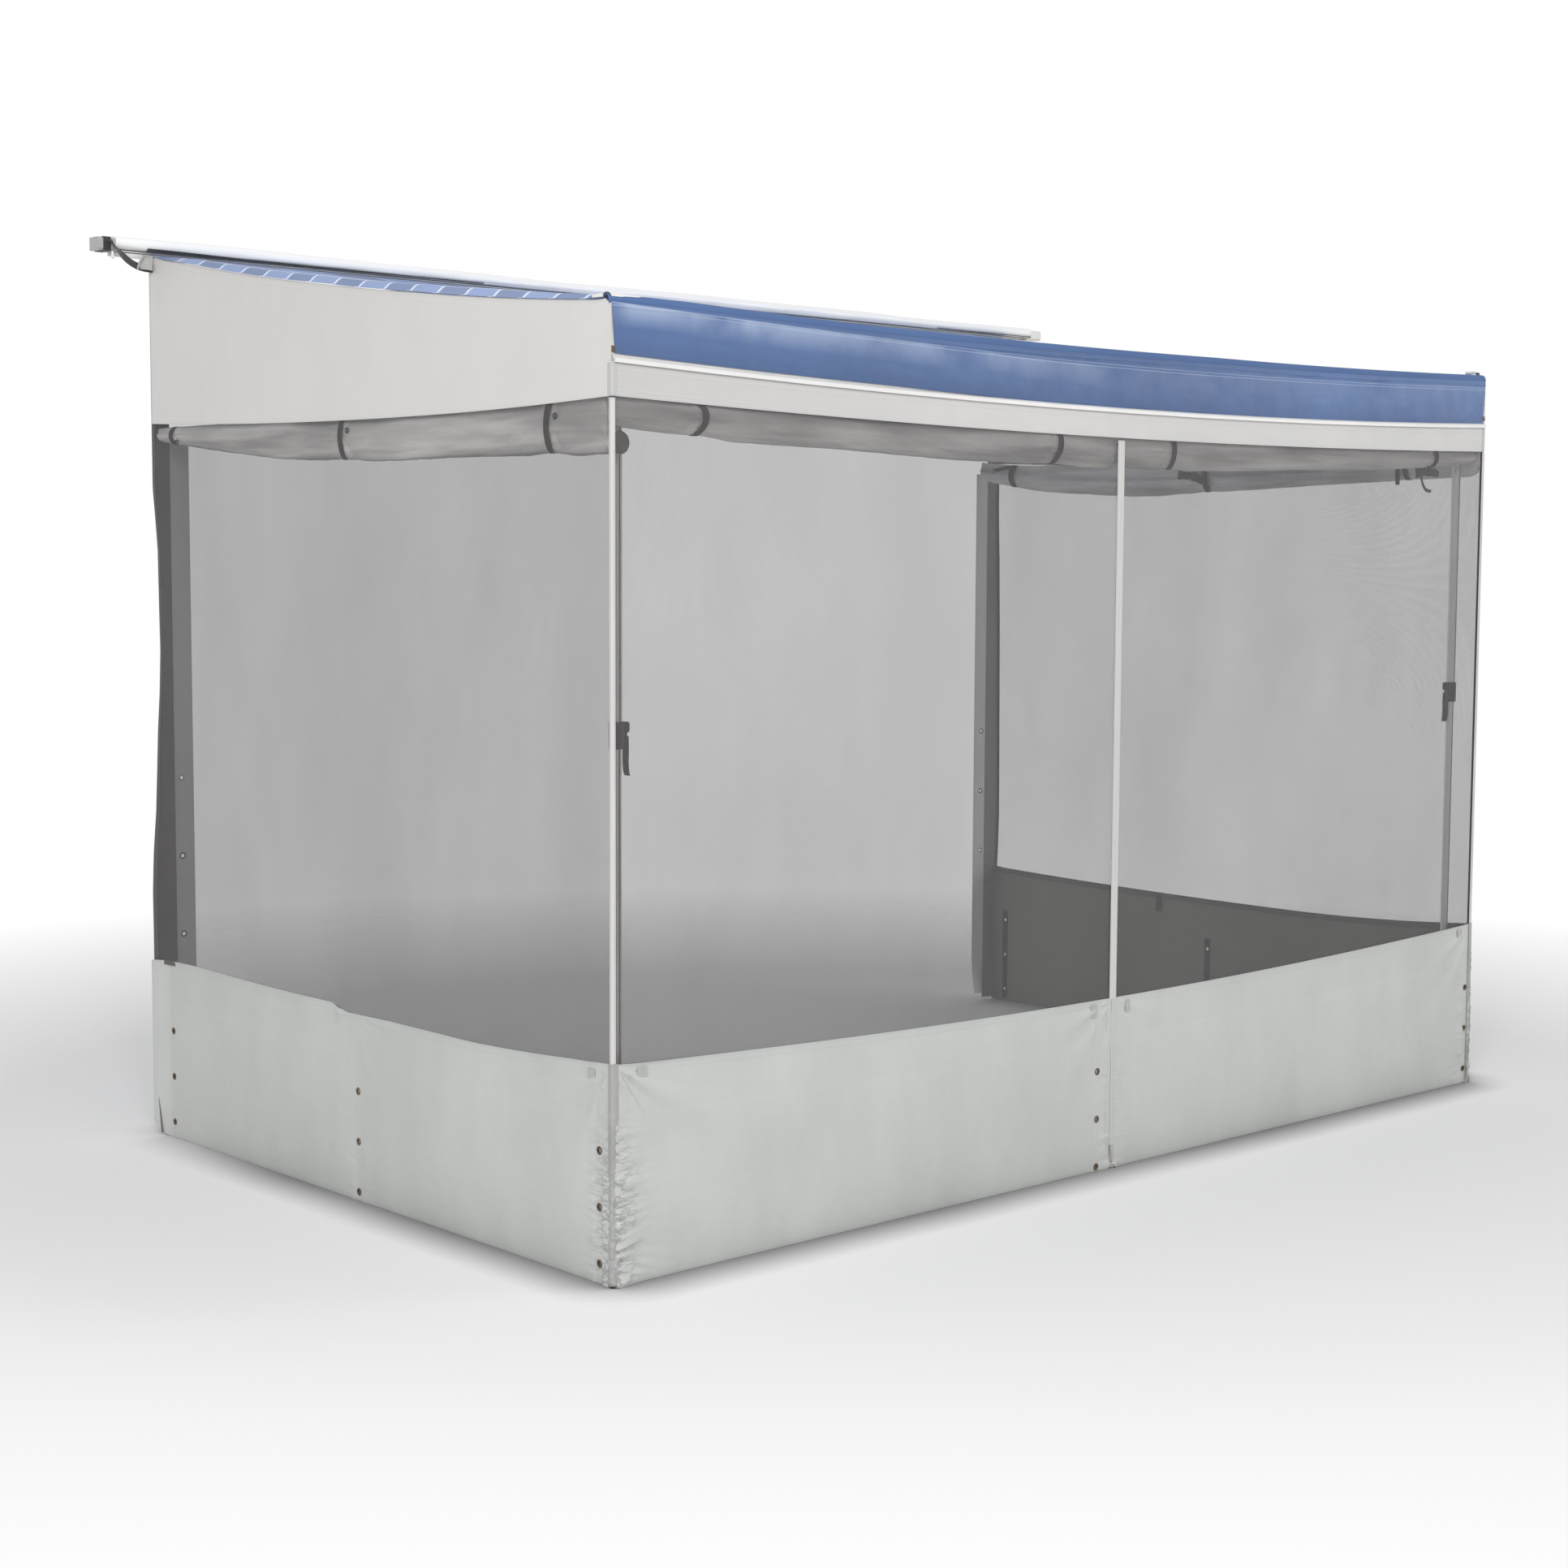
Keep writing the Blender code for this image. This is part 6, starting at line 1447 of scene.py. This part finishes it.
def dress_frame():
    plan = {
        "paint": ("wall_rail", "rail_cap_right", "front_beam", "wall_bracket", "rafter_inner", "rafter_outer",
                  "leg_bracket"),
        "leg": ("leg_upper", "leg_lower"),
        "plastic": ("beam_cap", "rafter_knob", "leg_head", "leg_clamp", "leg_lever"),
        "grey_plastic": ("rail_cap_left",),
        "rubber": ("foot_",),
        "steel": ("zip_slider",),
    }
    for name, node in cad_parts.items():
        for look, starts in plan.items():
            if name.startswith(starts):
                node.data.materials.clear()
                node.data.materials.append(LOOK[look])


# Camera, light and floor

def set_camera():
    yaw, pitch, roll = radians(42.4167), radians(-4.8963), radians(0.26687)
    forward = Vector((sin(yaw) * cos(pitch), cos(yaw) * cos(pitch), sin(pitch)))
    right = Vector((cos(yaw), -sin(yaw), 0.0))
    up = right.cross(forward)
    right, up = right * cos(roll) + up * sin(roll), up * cos(roll) - right * sin(roll)
    data = bpy.data.cameras.new("camera")
    data.sensor_width = 36.0
    data.lens = 57.30
    made = bpy.data.objects.new("camera", data)
    turn = Matrix((right, up, -forward)).transposed().to_4x4()
    made.matrix_world = at_room(-3.559 - HALF, -4.480, 1.671) @ turn
    bpy.context.scene.collection.objects.link(made)
    bpy.context.scene.camera = made


def add_lamp(name, spot, target, size, power):
    data = bpy.data.lights.new(name, "AREA")
    data.shape = "RECTANGLE"
    data.size, data.size_y = size
    data.energy = power
    made = bpy.data.objects.new(name, data)
    made.location = spot
    made.rotation_euler = (Vector(target) - Vector(spot)).to_track_quat("-Z", "Y").to_euler()
    bpy.context.scene.collection.objects.link(made)


def set_light():
    """White wherever the backdrop is seen, dimmer as light, and two soft lamps."""
    world = bpy.data.worlds.new("studio")
    bpy.context.scene.world = world
    world.use_nodes = True
    tree = world.node_tree
    backdrop = tree.nodes["Background"]
    rays = tree.nodes.new("ShaderNodeLightPath").outputs
    seen = highest([Signal(tree, rays[f"Is {kind} Ray"]) for kind in ("Camera", "Glossy", "Transmission")])
    fill(backdrop.inputs["Strength"], seen.ramp(0.0, 1.0, 0.60, 1.0))
    backdrop.inputs["Color"].default_value = (1.0, 1.0, 1.0, 1.0)
    add_lamp("key", (-6.6, -6.6, 5.2), (-0.4, -0.8, 1.0), (4.0, 3.0), 470.0)
    add_lamp("fill", (6.5, -6.0, 3.0), (1.2, -1.0, 1.2), (3.0, 3.0), 90.0)


def add_floor():
    """A pale floor that thins out to the white backdrop, with painted contact shadow where pieces stand close.
    """
    made, tree = new_material("pale_floor", (0.90, 0.90, 0.90), 0.9)
    where = place_of(tree)
    reach = add(tree, "ShaderNodeVectorMath", "Value", operation="LENGTH", Vector=where)
    # painted shadow: ambient occlusion darkens the floor's colour near the pieces, less towards the rear
    near = add(tree, "ShaderNodeAmbientOcclusion", "AO", samples=12, Distance=0.17)
    power = split(where)[1].ramp(SHIFT + 1.40, SHIFT + 2.12, 1.7, 0.5)
    shade(made, Alpha=reach.ramp(2.7, 5.4, 1.0, 0.0), Specular_IOR_Level=0.0,
          Base_Color=tint((0.91, 0.91, 0.91), near.do("POWER", power)))
    count = 96
    turns = [2 * pi * i / count for i in range(count)]
    mesh = bpy.data.meshes.new("floor")
    mesh.from_pydata([(7.0 * cos(a), 7.0 * sin(a), 0.0) for a in turns], [], [tuple(range(count))])
    mesh.materials.append(made)
    floor = bpy.data.objects.new("floor", mesh)
    bpy.context.scene.collection.objects.link(floor)


def build():
    bpy.context.scene.view_settings.view_transform = "Standard"
    set_camera()
    for step in (build_gables, build_header, build_canopy, build_valance, build_screens, build_skirts,
                 build_rear, build_rolls, build_zips, build_patches, build_bag, build_fittings, dress_frame,
                 set_light, add_floor):
        step()


build()
